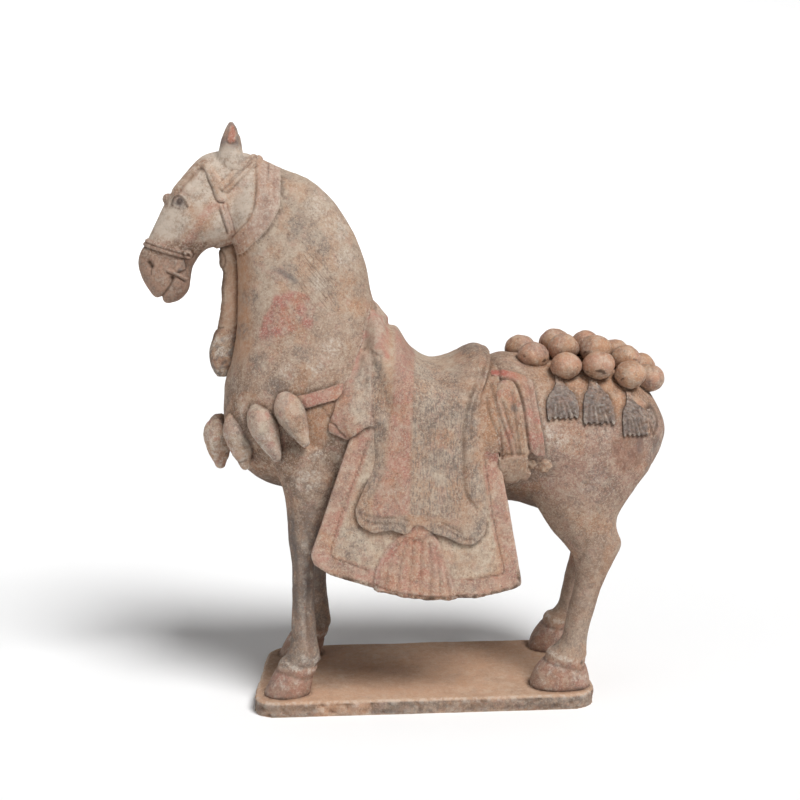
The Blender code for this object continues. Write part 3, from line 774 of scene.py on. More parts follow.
def cover_thinned(y, z, inside):
    """The cover thins out where its edges lie smooth on the flap."""
    drawn_y = (y - ORIGIN[1]) / SCALE[1]
    drawn_z = (z - ORIGIN[2]) / SCALE[2]
    rear = (drawn_y > 42) * fade(drawn_z, 182, 198) * fade(drawn_z, 308, 298)
    front = (drawn_y < -34) * fade(drawn_z, 222, 240) * fade(drawn_z, 290, 284)
    return (COVER_REAR_THINNED * rear + COVER_FRONT_THINNED * front) * fade(inside, COVER_THIN_WIDTH, 0)


def flap_outside(y, z):
    """The flap's outer x: it leaves the body as it hangs, and bows round the barrel."""
    drop = placed(0, 0, FLAP_TOP_Z).z - z
    half_breadth = placed(0, FLAP_OUTLINE[1][0], 0).y
    bow = (y / half_breadth) ** 2 * FLAP_BOW * MM
    return placed(FLAP_TOP_X, 0, 0).x + FLAP_THICKNESS * MM + drop * FLAP_FLARE - bow


def flap(bm, side):
    thickness = FLAP_THICKNESS * MM
    panel(bm, FLAP_OUTLINE,
          lambda y, z: side * flap_outside(y, z),
          lambda y, z: side * (flap_outside(y, z) - thickness))


def faces_inwards(shell):
    """Whether a shell bounds a hollow that is shut in, and not the outside."""
    faces = set()
    for vert in shell:
        faces.update(vert.link_faces)
    return sum(face.normal.dot(face.calc_center_median()) * face.calc_area() for face in faces) < 0


def shown(name, data):
    """A new object in the scene."""
    item = bpy.data.objects.new(name, data)
    bpy.context.scene.collection.objects.link(item)
    return item


def shells(bm):
    """The separate closed surfaces of a skin, each as a list of its points."""
    unvisited = set(bm.verts)
    while unvisited:
        shell = []
        front = [unvisited.pop()]
        while front:
            vert = front.pop()
            shell.append(vert)
            for edge in vert.link_edges:
                other = edge.other_vert(vert)
                if other in unvisited:
                    unvisited.remove(other)
                    front.append(other)
        yield shell


def fused(bm, cell, smoothings=2):
    """One closed skin round the overlapping forms in bm."""
    bmesh.ops.recalc_face_normals(bm, faces=bm.faces[:])
    mesh = bpy.data.meshes.new("forms")
    bm.to_mesh(mesh)
    bm.free()
    forms = shown("forms", mesh)
    wrap = forms.modifiers.new("clay skin", "REMESH")
    wrap.mode = "VOXEL"
    wrap.voxel_size = cell * MM
    wrap.adaptivity = 0.0
    seen = forms.evaluated_get(bpy.context.evaluated_depsgraph_get())
    skin = bmesh.new()
    skin.from_mesh(seen.to_mesh())
    bpy.data.objects.remove(forms, do_unlink=True)
    bpy.data.meshes.remove(mesh)
    hollows = [vert for shell in shells(skin) if faces_inwards(shell) for vert in shell]
    bmesh.ops.delete(skin, geom=hollows, context="VERTS")
    for _ in range(smoothings):
        bmesh.ops.smooth_vert(skin, verts=skin.verts[:], factor=0.5, use_axis_x=True,
                              use_axis_y=True, use_axis_z=True)
    return skin


def off_path(y, z, path):
    """How far points of the side view are from a line drawn on it."""
    best = np.full(len(y), 1000.0)
    for (y0, z0), (y1, z1) in zip(path, path[1:]):
        dy = y1 - y0
        dz = z1 - z0
        along = np.clip(((y - y0) * dy + (z - z0) * dz) / (dy * dy + dz * dz), 0, 1)
        best = np.minimum(best, np.hypot(y - y0 - along * dy, z - z0 - along * dz))
    return best


def round_of(middle, radius):
    """A closed ring of points round a place on the side view."""
    turns = [2 * math.pi * step / ROUND_STEPS for step in range(ROUND_STEPS + 1)]
    return tuple((middle[0] + radius * math.cos(turn), middle[1] + radius * math.sin(turn)) for turn in turns)


def depth_in(y, z, outline):
    """How deep points lie within an outline of the side view, below 0 outside it."""
    closed = list(outline) + [outline[0]]
    odd = np.zeros(len(y), bool)
    for (y0, z0), (y1, z1) in zip(closed, closed[1:]):
        if z0 != z1:
            crosses = (z0 > z) != (z1 > z)
            odd ^= crosses & (y < (y1 - y0) * (z - z0) / (z1 - z0) + y0)
    return off_path(y, z, closed) * np.where(odd, 1, -1)


def close_holes(bm):
    bmesh.ops.holes_fill(bm, edges=[edge for edge in bm.edges if edge.is_boundary])


def cut_away(bm, outline):
    """Takes off what lies within an outline of the side view, and closes the skin again."""
    drawn = (np.array([vert.co[:] for vert in bm.verts]) - np.array(ORIGIN)) / np.array(SCALE)
    inside = depth_in(drawn[:, 1], drawn[:, 2], outline) > 0
    gone = [vert for vert, out in zip(bm.verts, inside) if out]
    bmesh.ops.delete(bm, geom=gone, context="VERTS")
    close_holes(bm)


def cut_level(bm, height):
    """Cuts off what lies below a height, and leaves a flat underside."""
    whole = bm.verts[:] + bm.edges[:] + bm.faces[:]
    bmesh.ops.bisect_plane(bm, geom=whole, plane_co=(0, 0, height), plane_no=(0, 0, -1), clear_outer=True)
    close_holes(bm)


class Skin:
    """A clay surface while it is pressed, raised and painted. Lengths are the drawing's millimetres.

    A stroke lays coats on by name, each with its strength, as in paint(outline, edge, where, pink=0.5).
    """

    def __init__(self, bm):
        self.bm = bm
        self.measure()
        self.coats = {name: np.zeros(len(self.points)) for name in COATS}

    def measure(self):
        self.bm.normal_update()
        self.points = np.array([vert.co[:] for vert in self.bm.verts])
        self.normals = np.array([vert.normal[:] for vert in self.bm.verts])
        drawn = (self.points - np.array(ORIGIN)) / np.array(SCALE)
        self.x, self.y, self.z = drawn.T
        self.lift = np.zeros(len(self.points))
        self.near = (self.x > 0).astype(float)
        self.far = 1 - self.near
        self.outer = fade(self.normals[:, 0] * np.sign(self.x), 0.0, 0.3)

    def settle(self):
        """Moves the surface by what has been pressed and raised so far."""
        moved = self.points + self.normals * (self.lift * MM)[:, None]
        for vert, place in zip(self.bm.verts, moved):
            vert.co = place
        self.measure()

    def faint_contact_places(self):
        """Where pieces lie so close together that little contact dirt and painted shade is laid along their
        edges.
        """
        covered = [fade(self.off(path), start, end) * share for path, start, end, share in FAINT_CONTACT_EDGES]
        return np.maximum.reduce([self.inside(OCHRE_PATCH, -2, 3) * 0.5] + covered)

    def off(self, path):
        return off_path(self.y, self.z, smooth_rows(path))

    def within(self, outline):
        return depth_in(self.y, self.z, outline)

    def inside(self, outline, start, end):
        return fade(self.within(outline), start, end)

    def facing_down(self, start=-0.3, end=-0.8):
        return fade(self.normals[:, 2], start, end)

    def press(self, path, width, depth, where, dirt):
        """A groove along a path, as a tool leaves it, with dirt and painted shade kept in it."""
        share = np.exp(-(self.off(path) / (width / 2)) ** 2) * where
        self.lift -= depth * share
        self.stain("dirt", dirt * share)

    def roll(self, path, half_width, height, where=1.0):
        """A rounded strip of clay laid along a path."""
        share = 1 - (self.off(path) / half_width) ** 2
        self.lift += height * np.sqrt(np.clip(share, 0, 1)) * where

    def raise_within(self, outline, height, edge, where):
        self.lift += height * self.inside(outline, -edge / 2, edge / 2) * where

    def feather(self, outline, width, depth, where=1.0):
        """Thins a laid-on piece towards its outline."""
        inside = self.within(outline)
        self.lift -= depth * fade(inside, width, 0) * (inside > -1.5) * self.outer * where

    # A dent, with dirt and painted shade laid in it
    def dent(self, y, z, radius, depth, where, dirt=0.0):
        share = np.exp(-(np.hypot(self.y - y, self.z - z) / radius) ** 2) * where
        self.lift -= depth * share
        self.stain("dirt", dirt * share)

    def stain(self, coat, share):
        self.coats[coat] = np.maximum(self.coats[coat], share)

    def wash(self, where, **coats):
        for coat, strength in coats.items():
            self.stain(coat, where * strength)

    def strip(self, share, *coats):
        """Takes a share of some coats off."""
        for coat in coats:
            self.coats[coat] *= 1 - share

    def paint(self, outline, edge, where=1.0, **coats):
        self.wash(self.inside(outline, -edge, edge) * where, **coats)

    def line(self, path, half_width, where=1.0, **coats):
        self.wash(fade(self.off(path), half_width * 1.5, half_width * 0.5) * where, **coats)

    def dab(self, y, z, radius, where, **coats):
        off = np.hypot(self.y - y, self.z - z)
        self.wash(fade(off, radius * 1.3, radius * 0.4) * where, **coats)

    def dabs(self, places, where=1.0, **coats):
        for place in places:
            self.dab(*place, where, **coats)

    def patches(self, size, seed=0, stretch=(1, 1, 1)):
        """Soft patches from 0 to 1, some size across, longer where they are stretched."""
        shift = seed * np.array(PATCH_SHIFT)
        places = self.points / (np.array(stretch) * size * MM) + shift
        values = [noise.noise(Vector(place)) for place in places]
        return np.array(values) * 0.5 + 0.5

    def mottle(self, size, seed, low, high, stretch=(1, 1, 1)):
        """Patches whose share goes from 0 at one level to 1 at another."""
        return fade(self.patches(size, seed, stretch), low, high)

    def blotch(self, coat, size, seed, low, high, strength, where=1.0, least=0.0, stretch=(1, 1, 1)):
        """A coat in patches, over the least of it that is everywhere."""
        self.stain(coat, (least + strength * self.mottle(size, seed, low, high, stretch)) * where)

    def hand_worked(self, amount, size):
        """The slight unevenness of a surface smoothed by hand."""
        self.lift += (self.patches(size) - 0.5) * 2 * amount
        self.lift += (self.patches(size / 3.2, 5) - 0.5) * 0.9 * amount

    def weather(self):
        """Marks the hollows, where dirt stays and painted shade darkens them, and the edges, where the paint
        has worn off.
        """
        edges = np.array([(edge.verts[0].index, edge.verts[1].index) for edge in self.bm.edges])
        size = len(self.points)
        count = np.bincount(edges.ravel(), minlength=size)
        level = self.points
        for _ in range(LEVELLING_ROUNDS):
            total = np.empty_like(level)
            for axis in range(3):
                given = level[:, axis]
                total[:, axis] = (np.bincount(edges[:, 0], weights=given[edges[:, 1]], minlength=size)
                                  + np.bincount(edges[:, 1], weights=given[edges[:, 0]], minlength=size))
            level = total / np.maximum(count, 1)[:, None]
        sunk = ((level - self.points) * self.normals).sum(axis=1) / MM
        self.stain("hollow", fade(sunk, 0.12, 0.9))
        self.stain("edge", fade(-sunk, 0.15, 0.9))


def add_piece(name, skin, finish, node="horse"):
    """The finished skin as a piece of the model that stands for a node of the frame."""
    skin.settle()
    skin.bm.verts.index_update()
    skin.weather()
    mesh = bpy.data.meshes.new(name)
    skin.bm.to_mesh(mesh)
    tree = BVHTree.FromBMesh(skin.bm)
    skin.bm.free()
    mesh.shade_smooth()
    mesh.materials.append(finish)
    piece = shown(name, mesh)
    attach(piece, "root")
    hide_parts(node)
    pieces.append((piece, skin, tree))


def mark_contacts():
    """Marks where one piece meets another, with the earth that stays there and painted shade, and keeps all
    the coats.
    """
    reach = CONTACT_REACH * MM
    for piece, skin, _ in pieces:
        close = np.full(len(skin.points), CONTACT_REACH)
        for other, other_skin, tree in pieces:
            if other is piece:
                continue
            low = other_skin.points.min(axis=0) - reach
            high = other_skin.points.max(axis=0) + reach
            inside = ((skin.points > low) & (skin.points < high)).all(axis=1)
            for index in np.nonzero(inside)[0]:
                point = Vector(skin.points[index])
                found = tree.find_nearest(point, reach)
                if found[0] is None:
                    continue
                beneath = (point - found[0]).normalized().dot(Vector(skin.normals[index]))
                if beneath < LIES_FLAT:
                    close[index] = min(close[index], found[3] / MM)
        skin.stain("contact", fade(close, CONTACT_REACH, 0.4) * (1 - skin.faint_contact_places()))
        for coat, values in skin.coats.items():
            layer = piece.data.attributes.new(coat, "FLOAT", "POINT")
            layer.data.foreach_set("value", np.ascontiguousarray(values, dtype=np.float32))


def tone(red, green, blue):
    """A colour as it looks in daylight, from 0 to 255 each, in the shader's linear values."""
    values = [value / 255 for value in (red, green, blue)]
    return (*(v / 12.92 if v <= 0.04045 else ((v + 0.055) / 1.055) ** 2.4 for v in values), 1.0)


CREAM = tone(202, 187, 168)
CHALK = tone(218, 209, 196)
CLAY = tone(172, 144, 124)
DEEP_CLAY = tone(142, 113, 93)
PINK = tone(184, 130, 116)
RED = tone(178, 88, 80)
GREY = tone(112, 104, 99)
BLUE_GREY = tone(86, 85, 88)
OCHRE = tone(186, 136, 100)
UMBER = tone(100, 78, 64)
EARTH_AND_SHADE = tone(72, 52, 40)

# How the clay takes the light: gloss, and the relief of its grain, in millimetres
CLAY_GLOSS = 0.25
BUMP_STRENGTH = 0.6
BUMP_DEPTH = 1.1
CLOUD_SHIFT = (0.1, 0.06, 0.17)


class Finish:
    """A surface of fired clay, laid up coat by coat."""

    def __init__(self, name, ground):
        self.material = bpy.data.materials.new(name)
        self.material.use_nodes = True
        self.nodes = self.material.node_tree.nodes
        self.links = self.material.node_tree.links
        self.shader = self.nodes["Principled BSDF"]
        self.place = self.nodes.new("ShaderNodeTexCoord").outputs["Object"]
        self.colour = ground

    def join(self, source, target):
        """Gives an input either another node's output or a constant."""
        if isinstance(source, bpy.types.NodeSocket):
            self.links.new(source, target)
        else:
            target.default_value = source

    def cloud(self, size, detail, stretch=(1, 1, 1), turn=0.0, shift=0.0, roughness=0.55):
        """Noise from 0 to 1 whose patches are size millimetres across."""
        mapping = self.nodes.new("ShaderNodeMapping")
        mapping.vector_type = "TEXTURE"
        mapping.inputs["Location"].default_value = [shift * share for share in CLOUD_SHIFT]
        mapping.inputs["Rotation"].default_value = (turn, 0, 0)
        mapping.inputs["Scale"].default_value = [size * MM * share for share in stretch]
        self.links.new(self.place, mapping.inputs["Vector"])
        texture = self.nodes.new("ShaderNodeTexNoise")
        texture.inputs["Scale"].default_value = 1.0
        texture.inputs["Detail"].default_value = detail
        texture.inputs["Roughness"].default_value = roughness
        self.links.new(mapping.outputs["Vector"], texture.inputs["Vector"])
        return texture.outputs[0]

    def coat(self, name):
        layer = self.nodes.new("ShaderNodeAttribute")
        layer.attribute_name = name
        return layer.outputs["Fac"]

    def share(self, value, start, end, low=0.0, high=1.0):
        """A smooth step of a value, from low at start to high at end."""
        step = self.nodes.new("ShaderNodeMapRange")
        step.interpolation_type = "SMOOTHSTEP"
        self.join(value, step.inputs["Value"])
        limits = {"From Min": start, "From Max": end, "To Min": low, "To Max": high}
        for name, limit in limits.items():
            step.inputs[name].default_value = limit
        return step.outputs["Result"]

    def sum(self, operation, first, *others):
        for other in others:
            node = self.nodes.new("ShaderNodeMath")
            node.operation = operation
            node.use_clamp = operation == "ADD"
            self.join(first, node.inputs[0])
            self.join(other, node.inputs[1])
            first = node.outputs[0]
        return first

    def times(self, *values):
        return self.sum("MULTIPLY", *values)

    def lay(self, colour, *amounts):
        """Lays a colour over what is there, by the product of the amounts."""
        mix = self.nodes.new("ShaderNodeMix")
        mix.data_type = "RGBA"
        self.join(self.times(*amounts), mix.inputs[0])
        self.join(self.colour, mix.inputs[6])
        self.join(colour, mix.inputs[7])
        self.colour = mix.outputs[2]

    def close(self, height, strength, distance, roughness):
        """Joins the colour and the relief to the shader."""
        bump = self.nodes.new("ShaderNodeBump")
        bump.inputs["Strength"].default_value = strength
        bump.inputs["Distance"].default_value = distance * MM
        self.links.new(height, bump.inputs["Height"])
        self.links.new(bump.outputs["Normal"], self.shader.inputs["Normal"])
        self.links.new(self.colour, self.shader.inputs["Base Color"])
        self.shader.inputs["Roughness"].default_value = roughness
        self.shader.inputs["Specular IOR Level"].default_value = CLAY_GLOSS
        return self.material


def fired_clay(name, speckle, chalky, ground=CLAY, dark=DEEP_CLAY, cream=CREAM, roughness=0.86, film=0.17):
    """The clay under its worn slip and paint, with the coats that the skins carry.

    A film of earth dulls it all. Where a skin is calm, it has fewer specks.
    """
    clay = Finish(name, ground)
    broad = clay.cloud(42, 6, roughness=0.62)
    middling = clay.cloud(15, 8, shift=3.1, roughness=0.68)
    wash = clay.cloud(11, 8, shift=5.9, roughness=0.7)
    small = clay.cloud(6.0, 7, shift=7.7, roughness=0.7)
    flecks = clay.cloud(4.2, 7, shift=6.1, roughness=0.78)
    fine = clay.cloud(2.4, 5, shift=1.3, roughness=0.75)
    grain = clay.cloud(1.0, 3, shift=9.2, roughness=0.75)
    stains = clay.cloud(30, 5, shift=12.3)
    soot = clay.cloud(24, 7, shift=15.1, roughness=0.68)
    strokes = clay.cloud(1.5, 5, stretch=(1, 1, 5), shift=4.4, roughness=0.7)
    sparks = clay.cloud(2.8, 4, shift=5.1)
    rake = clay.cloud(1.3, 3, stretch=(1, 16, 1), turn=-0.9, shift=2.2)
    specks = clay.cloud(1.3, 3, shift=5.5)
    holes = clay.cloud(2.1, 2, shift=8.8)
    busy = clay.share(clay.coat("calm"), 0.0, 1.0, 1.0, 0.2)

    # Each layer: colour, the coat that it follows, strength, then clouds with start, end and least share
    layers = (
        (dark, None, 0.4, (broad, 0.42, 0.6)),
        (dark, None, 0.34, (middling, 0.47, 0.58)),
        (cream, "cream", 0.85, (small, 0.6, 0.44, 0.45)),
        (OCHRE, "ochre", 0.75, (small, 0.38, 0.54, 0.5)),
        (PINK, "pink", 0.9, (middling, 0.4, 0.54, 0.5), (small, 0.4, 0.54, 0.6)),
        (UMBER, "umber", 0.85, (small, 0.4, 0.58, 0.5)),
        (RED, "red", 0.85, (fine, 0.36, 0.54, 0.5)),
        (GREY, "grey", 0.75, (flecks, 0.42, 0.56, 0.2)),
        (OCHRE, "busy", 0.34, (stains, 0.5, 0.6)),
        (GREY, "busy", 0.26, (soot, 0.53, 0.62)),
        (cream, "busy", 0.32, (wash, 0.5, 0.6)),
        (GREY, "busy", 0.24, (wash, 0.47, 0.38)),
        (PINK, "busy", 0.22, (middling, 0.46, 0.38)),
        (GREY, "brushed", 0.75, (strokes, 0.45, 0.58), (small, 0.4, 0.54, 0.35)),
        (cream, "brushed", 0.35, (strokes, 0.44, 0.34)),
        (cream, "busy", 0.5, (fine, 0.52, 0.6)),
        (UMBER, "busy", 0.42, (flecks, 0.54, 0.64)),
        (GREY, "busy", speckle, (fine, 0.46, 0.36), (wash, 0.56, 0.44, 0.2)),
        (RED, None, 0.25, (sparks, 0.64, 0.72)),
        (EARTH_AND_SHADE, "busy", 0.3, (grain, 0.4, 0.3)),
        (CHALK, "busy", chalky, (grain, 0.56, 0.66)),
        (CHALK, "chalk", 0.8, (small, 0.42, 0.56), (fine, 0.4, 0.56, 0.25)),
        (BLUE_GREY, "ink", 0.9, (fine, 0.36, 0.54, 0.4)),
        (UMBER, "scratched", 0.4, (rake, 0.53, 0.6)),
        (CHALK, "edge", 0.35, (small, 0.44, 0.56)),
        # Earth and painted shade: in the hollows, where pieces meet, and in grooves and holes
        (EARTH_AND_SHADE, "hollow", 0.42, (small, 0.38, 0.56, 0.35)),
        (EARTH_AND_SHADE, "contact", 0.58, (small, 0.38, 0.56, 0.45)),
        (EARTH_AND_SHADE, "dirt", 0.85, (fine, 0.3, 0.5, 0.6)),
        (EARTH_AND_SHADE, "busy", 0.7, (specks, 0.64, 0.7)),
    )
    for colour, carried, strength, *shares in layers:
        amounts = [clay.share(*share) for share in shares]
        if carried:
            amounts.append(busy if carried == "busy" else clay.coat(carried))
        clay.lay(colour, *amounts, strength)
    clay.lay(EARTH_AND_SHADE, film)
    height = clay.sum("ADD", clay.times(grain, 0.3), clay.times(fine, 0.4), clay.times(flecks, 0.4))
    pits = clay.share(holes, 0.72, 0.64)
    return clay.close(clay.times(height, pits), BUMP_STRENGTH, BUMP_DEPTH, roughness)


def model_body():
    bm = bmesh.new()
    add_body(bm)
    bm = fused(bm, BODY_CELL)
    cut_away(bm, BAND_MIDDLE + ((-300, 444), (-300, 600), (-142, 600)))
    cut_level(bm, SLAB_HIGH.z)
    body = Skin(bm)
    body.hand_worked(0.55, 26)
    paint_neck(body)
    paint_rump(body)
    paint_legs(body)
    body.lift *= fade(body.z, DRAWN_SOLE + 0.2, DRAWN_SOLE + 4)
    add_piece("horse_body", body, fired_clay("slipped_clay", 0.62, 0.42))


def paint_neck(body):
    """The neck and the chest, and what is worn or dirty on the whole body."""
    body.wash(fade(body.z, 330, 430) * fade(body.y, -30, -70) * fade(body.y, -176, -158), cream=0.6)
    # Painted shade: umber on the faces turned to the front, away from the key light
    body.wash(fade(body.normals[:, 1], -0.35, -0.9) * (body.z > 240), umber=0.5)
    # Darker undersides: clay that is browner there, with painted shade and dirt under the belly
    body.wash(body.facing_down(-0.25, -0.8) * fade(body.z, 120, 160), umber=1)
    body.wash(body.facing_down(-0.5, -0.95) * fade(body.z, 150, 180), dirt=0.7)
    beside_tassel = fade(body.y, -154, -166) * fade(body.z, 320, 360)
    body.strip(0.7 * beside_tassel, "umber")
    body.wash(beside_tassel, ochre=1, calm=0.7, cream=0.6)
    # Painted shade in the hollow between the neck and the throat tassel
    body.wash(beside_tassel * fade(body.y, -172, -181), umber=0.3)
    body.paint(RED_SPOT, 3, body.near, pink=0.45, grey=0.35)
    body.dabs(RED_DABS, body.near, red=0.9)
    body.line(RED_ARC, 2.6, body.near, red=0.8)
    body.dabs(CHALK_DABS, body.outer, chalk=0.6)
    body.dabs(GREY_DABS, body.outer, grey=0.8)
    body.dabs(OCHRE_DABS, body.outer, ochre=0.6)
    body.paint(SCRATCHED, 8, body.near, scratched=1)
    body.line(NECK_INK, 2.4, body.near, ink=0.6)
    chest = fade(body.y, -40, -90) * fade(body.z, 350, 300)
    body.blotch("umber", 22, 2, 0.42, 0.62, 0.6, chest, least=0.3)
    body.blotch("chalk", 12, 7, 0.6, 0.72, 0.5, chest)
    bare_clay = body.inside(OCHRE_PATCH, -7, 5) * body.outer
    body.wash(bare_clay, ochre=1, calm=0.2)
    body.strip(0.9 * bare_clay, "umber", "chalk", "grey", "pink", "cream")
    body.blotch("umber", 6, 33, 0.52, 0.66, 0.45, bare_clay)
    body.wash(body.inside(PENDANT_SHADE, -8, 6) * body.outer, umber=0.9, ochre=0.7)
    for crack in OCHRE_CRACKS:
        body.press(crack, 1.6, 0.6, body.near, 0.8)


def paint_rump(body):
    rump = fade(body.y, 90, 130) * fade(body.z, 190, 230)
    high = fade(body.z, 270, 300) * rump
    low = rump - high
    body.wash(high, ochre=0.9)
    body.wash(low, pink=0.45)
    body.blotch("grey", 26, 3, 0.35, 0.65, 0.6, low, least=0.25)
    body.blotch("chalk", 20, 9, 0.5, 0.7, 0.35, low)
    body.paint(RUMP_PALE, 8, body.outer, chalk=0.7)
    shade = body.inside(RUMP_SHADE, -3, 4) * body.outer
    body.strip(0.85 * shade, "chalk", "grey", "cream", "pink")
    body.wash(shade, ochre=0.6, pink=0.8, umber=0.8, calm=0.6)
    for streak in RUMP_INK:
        body.line(streak, 3.2, body.outer, ink=0.45)
    body.blotch("umber", 11, 4, 0.42, 0.6, 0.8, rump * fade(body.y, 205, 225))
    body.line(RUMP_STREAK, 4, body.outer, umber=0.4)
    body.line(REAR_TASSEL_LINE, 1.8, body.outer, dirt=0.6)
    body.paint(REAR_TASSEL, 4, body.outer, ink=0.35)
    body.paint(GIRTH_SMEAR, 4, body.outer, ochre=0.8, umber=0.5)
    body.press(GASKIN_LINE, 7, 0.8, body.outer, 0.2)
    body.press(HOCK_LINE, 4, 0.7, body.outer, 0.3)


def paint_legs(body):
    foreleg = fade(body.z, 240, 170) * (body.y < 0)
    body.blotch("umber", 7, 8, 0.38, 0.6, 0.15, foreleg, least=0.85, stretch=(1, 1, 5))
    body.wash(foreleg, grey=1, calm=0.6)
    body.blotch("ink", 6, 13, 0.48, 0.62, 0.5, foreleg * fade(body.z, 80, 120), stretch=(1, 1, 6))
    lower = fade(body.z, 200, 150)
    body.wash(lower * (body.y > 0), umber=0.15, calm=0.4)
    body.wash(lower * body.patches(16, 6), grey=0.6)
    body.wash(fade(body.z, 95, 70), cream=0.35)
    hooves = fade(body.z, 48, 40)
    body.wash(hooves, pink=0.6, umber=0.3, calm=0.4)
    body.blotch("red", 12, 2, 0.5, 0.65, 0.2, hooves)
    body.strip(0.8 * hooves, "grey", "cream")
    body.blotch("chalk", 8, 27, 0.5, 0.64, 0.5, hooves)
    body.blotch("grey", 7, 37, 0.5, 0.62, 0.6, hooves)
    umber = body.coats["umber"]
    body.coats["umber"] = np.where(hooves > 0.5, np.minimum(umber, HOOF_UMBER), umber)
    for coronet, step in ((FORE_CORONET, FAR_FORE_STEP), (HIND_CORONET, FAR_HIND_STEP)):
        for side, shift in ((body.near, 0.0), (body.far, step)):
            low_side = side * (body.z < 90)
            band = shifted(coronet, shift)
            body.roll(band, 4.0, 1.1, low_side)
            body.line(band, 4.5, low_side, ochre=0.7)
            body.line(shifted(band, 0, 1.5), 2.2, low_side, chalk=0.6)
            body.press(shifted(band, -1.5, -CORONET_DROP), 2.6, 0.8, low_side, 0.5)
    # A dark hole at the fetlock: dirt with painted shade
    body.dent(*FETLOCK_HOLE, 2.2, 2.0, body.near, 1.0)
    body.press(LEG_FLUTE, 5, 0.9, body.outer, 0.3)


def model_head():
    bm = bmesh.new()
    spined_form(bm, HEAD)
    spined_form(bm, NECK[:NECK_ROWS_IN_HEAD])
    ear(bm, 1, 0.0)
    ear(bm, -1, FAR_EAR_SHORTER)
    clay_ball(bm, *BROW_BOSS, flat=(1.3, 0.9, 1.0))
    bm = fused(bm, HEAD_CELL, 3)
    cut_away(bm, BEHIND_BAND)
    head = Skin(bm)
    head.hand_worked(0.3, 16)
    band = BAND_FRONT + BAND_REAR[::-1]
    lay_band(head, band)
    shape_face(head)
    lay_bridle(head)
    paint_face(head, head.within(band))
    paint_muzzle_and_ears(head)
    add_piece("horse_head", head, fired_clay("face_slip", 0.12, 0.45, cream=tone(217, 203, 187)))


def lay_band(head, band):
    """The band round the neck. Its rear edge goes under the body's skin."""
    crest = 1 - 0.6 * fade(head.z, 512, 526)
    thinning = 0.4 + 0.6 * fade(head.off(BAND_REAR), 2, 13)
    head.raise_within(band, BAND_HEIGHT, 2.6, crest * thinning)
    for brush_line in (-5.0, 0.0, 5.0):
        head.press(shifted(BAND_MIDDLE, brush_line), 1.2, 0.25, head.outer, 0.12)
    head.press(shifted(BAND_FRONT, -1.2), 1.8, 0.4, 1.0, 0.3)
    behind = depth_in(head.y, head.z, BAND_REAR + ((-200, 200), (100, 200), (100, 600)))
    head.lift -= TUCKED_UNDER * fade(behind, 0.0, 3.5)


def shape_face(head):
    side = head.outer
    head.dent(*EYE_MIDDLE, 10, 1.3, side)
    head.raise_within(EYE_OPENING, 1.3, 3.0, side)
    for ridge, half_width, height in ((BROW_RIDGE, 5, 1.0), (UPPER_LID, 1.5, 1.1), (LOWER_LID, 1.2, 0.6)):
        head.roll(ridge, half_width, height, side)
    head.paint(EYE_OPENING, 2, side, umber=0.7)
    head.paint(EYE_OPENING, 1, side, ink=0.5)
    head.line(shifted(UPPER_LID, -1, 2), 3.0, side, umber=0.5)
    head.line(shifted(LOWER_LID, -1, -2), 3.0, side, umber=0.3)
    head.line(shifted(UPPER_LID, 0.3, -0.6), 1.2, side, dirt=0.75)
    head.line(LOWER_LID, 1.2, side, umber=0.8)
    head.dab(*IRIS, 4.6, side, ink=1)
    head.dab(*IRIS, 3.8, side, dirt=0.75)
    head.dent(*CHEEK, 17, -1.5, side)
    head.press(NOSTRIL, 4.6, 2.4, side, 1.0)
    # Dark inside the nostril: dirt with painted shade
    head.dab(*NOSTRIL[0], 2.6, side, dirt=1)
    head.press(NOSTRIL_SLIT, 1.5, 0.9, side, 0.8)
    head.press(MOUTH, 2.2, 1.5, 1.0, 0.75)
    head.dent(*LIP_NOTCH, 3.0, 3.6, 1.0, 0.5)
    # Painted shade in the corner of the mouth
    head.dent(*MOUTH_CORNER, 2.6, 2.2, side, 1.0)
    head.press(CHIN_FOLD, 4.0, 0.5, side, 0.1)
    head.press(EAR_PATCH[1:5], 3.0, 1.0, side, 0.0)


def lay_bridle(head):
    side = head.outer
    head.roll(BROW_STRAP, 3.6, 1.2, fade(head.normals[:, 0] * np.sign(head.x), -0.9, -0.2))
    head.press(shifted(BROW_STRAP, 1.6, -3.0), 1.6, 0.5, side, 0.4)
    head.press(KNOB_CREASE, 1.7, 1.1, side, 0.55)
    for strap, half_width, height in (
        (KNOB_STRAP, 5.2, 2.2), (CHEEK_PAINT, 4.6, 0.7), (EAR_STRAP, 6.0, 3.2), (BIT_BAR, 1.8, 1.5),
    ):
        head.roll(strap, half_width, height, side)
    for edge in (-5.6, 5.6):
        head.press(shifted(EAR_STRAP, edge * 0.65, edge * 0.85), 1.6, 0.6, side, 0.5)
    for lift in (-1.8, 1.8):
        head.roll(shifted(THROAT_LASH, lift), 1.8, 1.7, side)
        head.press(shifted(THROAT_LASH, lift * 2), 1.2, 0.4, side, 0.35)
        head.roll(shifted(NOSEBAND, lift * 0.26, lift * 0.97), 2.1, 1.9)
    head.press(shifted(NOSEBAND, -1.2, -4.4), 1.6, 0.4, 1.0, 0.6)
    head.press(NOSEBAND, 1.1, 0.6, 1.0, 0.5)
    head.press(THROAT_LASH_CREASE, 1.4, 0.6, side, 0.7)
    head.roll(round_of(NOSEBAND_RING, RING_RADIUS), 1.5, 1.9, side)
    head.line(round_of(NOSEBAND_RING, RING_RADIUS + 2.2), 0.8, side, dirt=0.6)
    head.dab(*NOSEBAND_RING, 1.6, side, dirt=0.5)
    head.raise_within(CHEEK_PLATE, 1.5, 1.2, side)
    head.line(CHEEK_PLATE[1:], 0.7, side, dirt=0.4)
    head.dent(*RIVET, 1.9, -1.4, side)
    head.dab(*RIVET, 2.2, side, ink=0.7)
    head.press(shifted(BIT_BAR, -0.6, -2.6), 1.4, 0.6, side, 0.9)


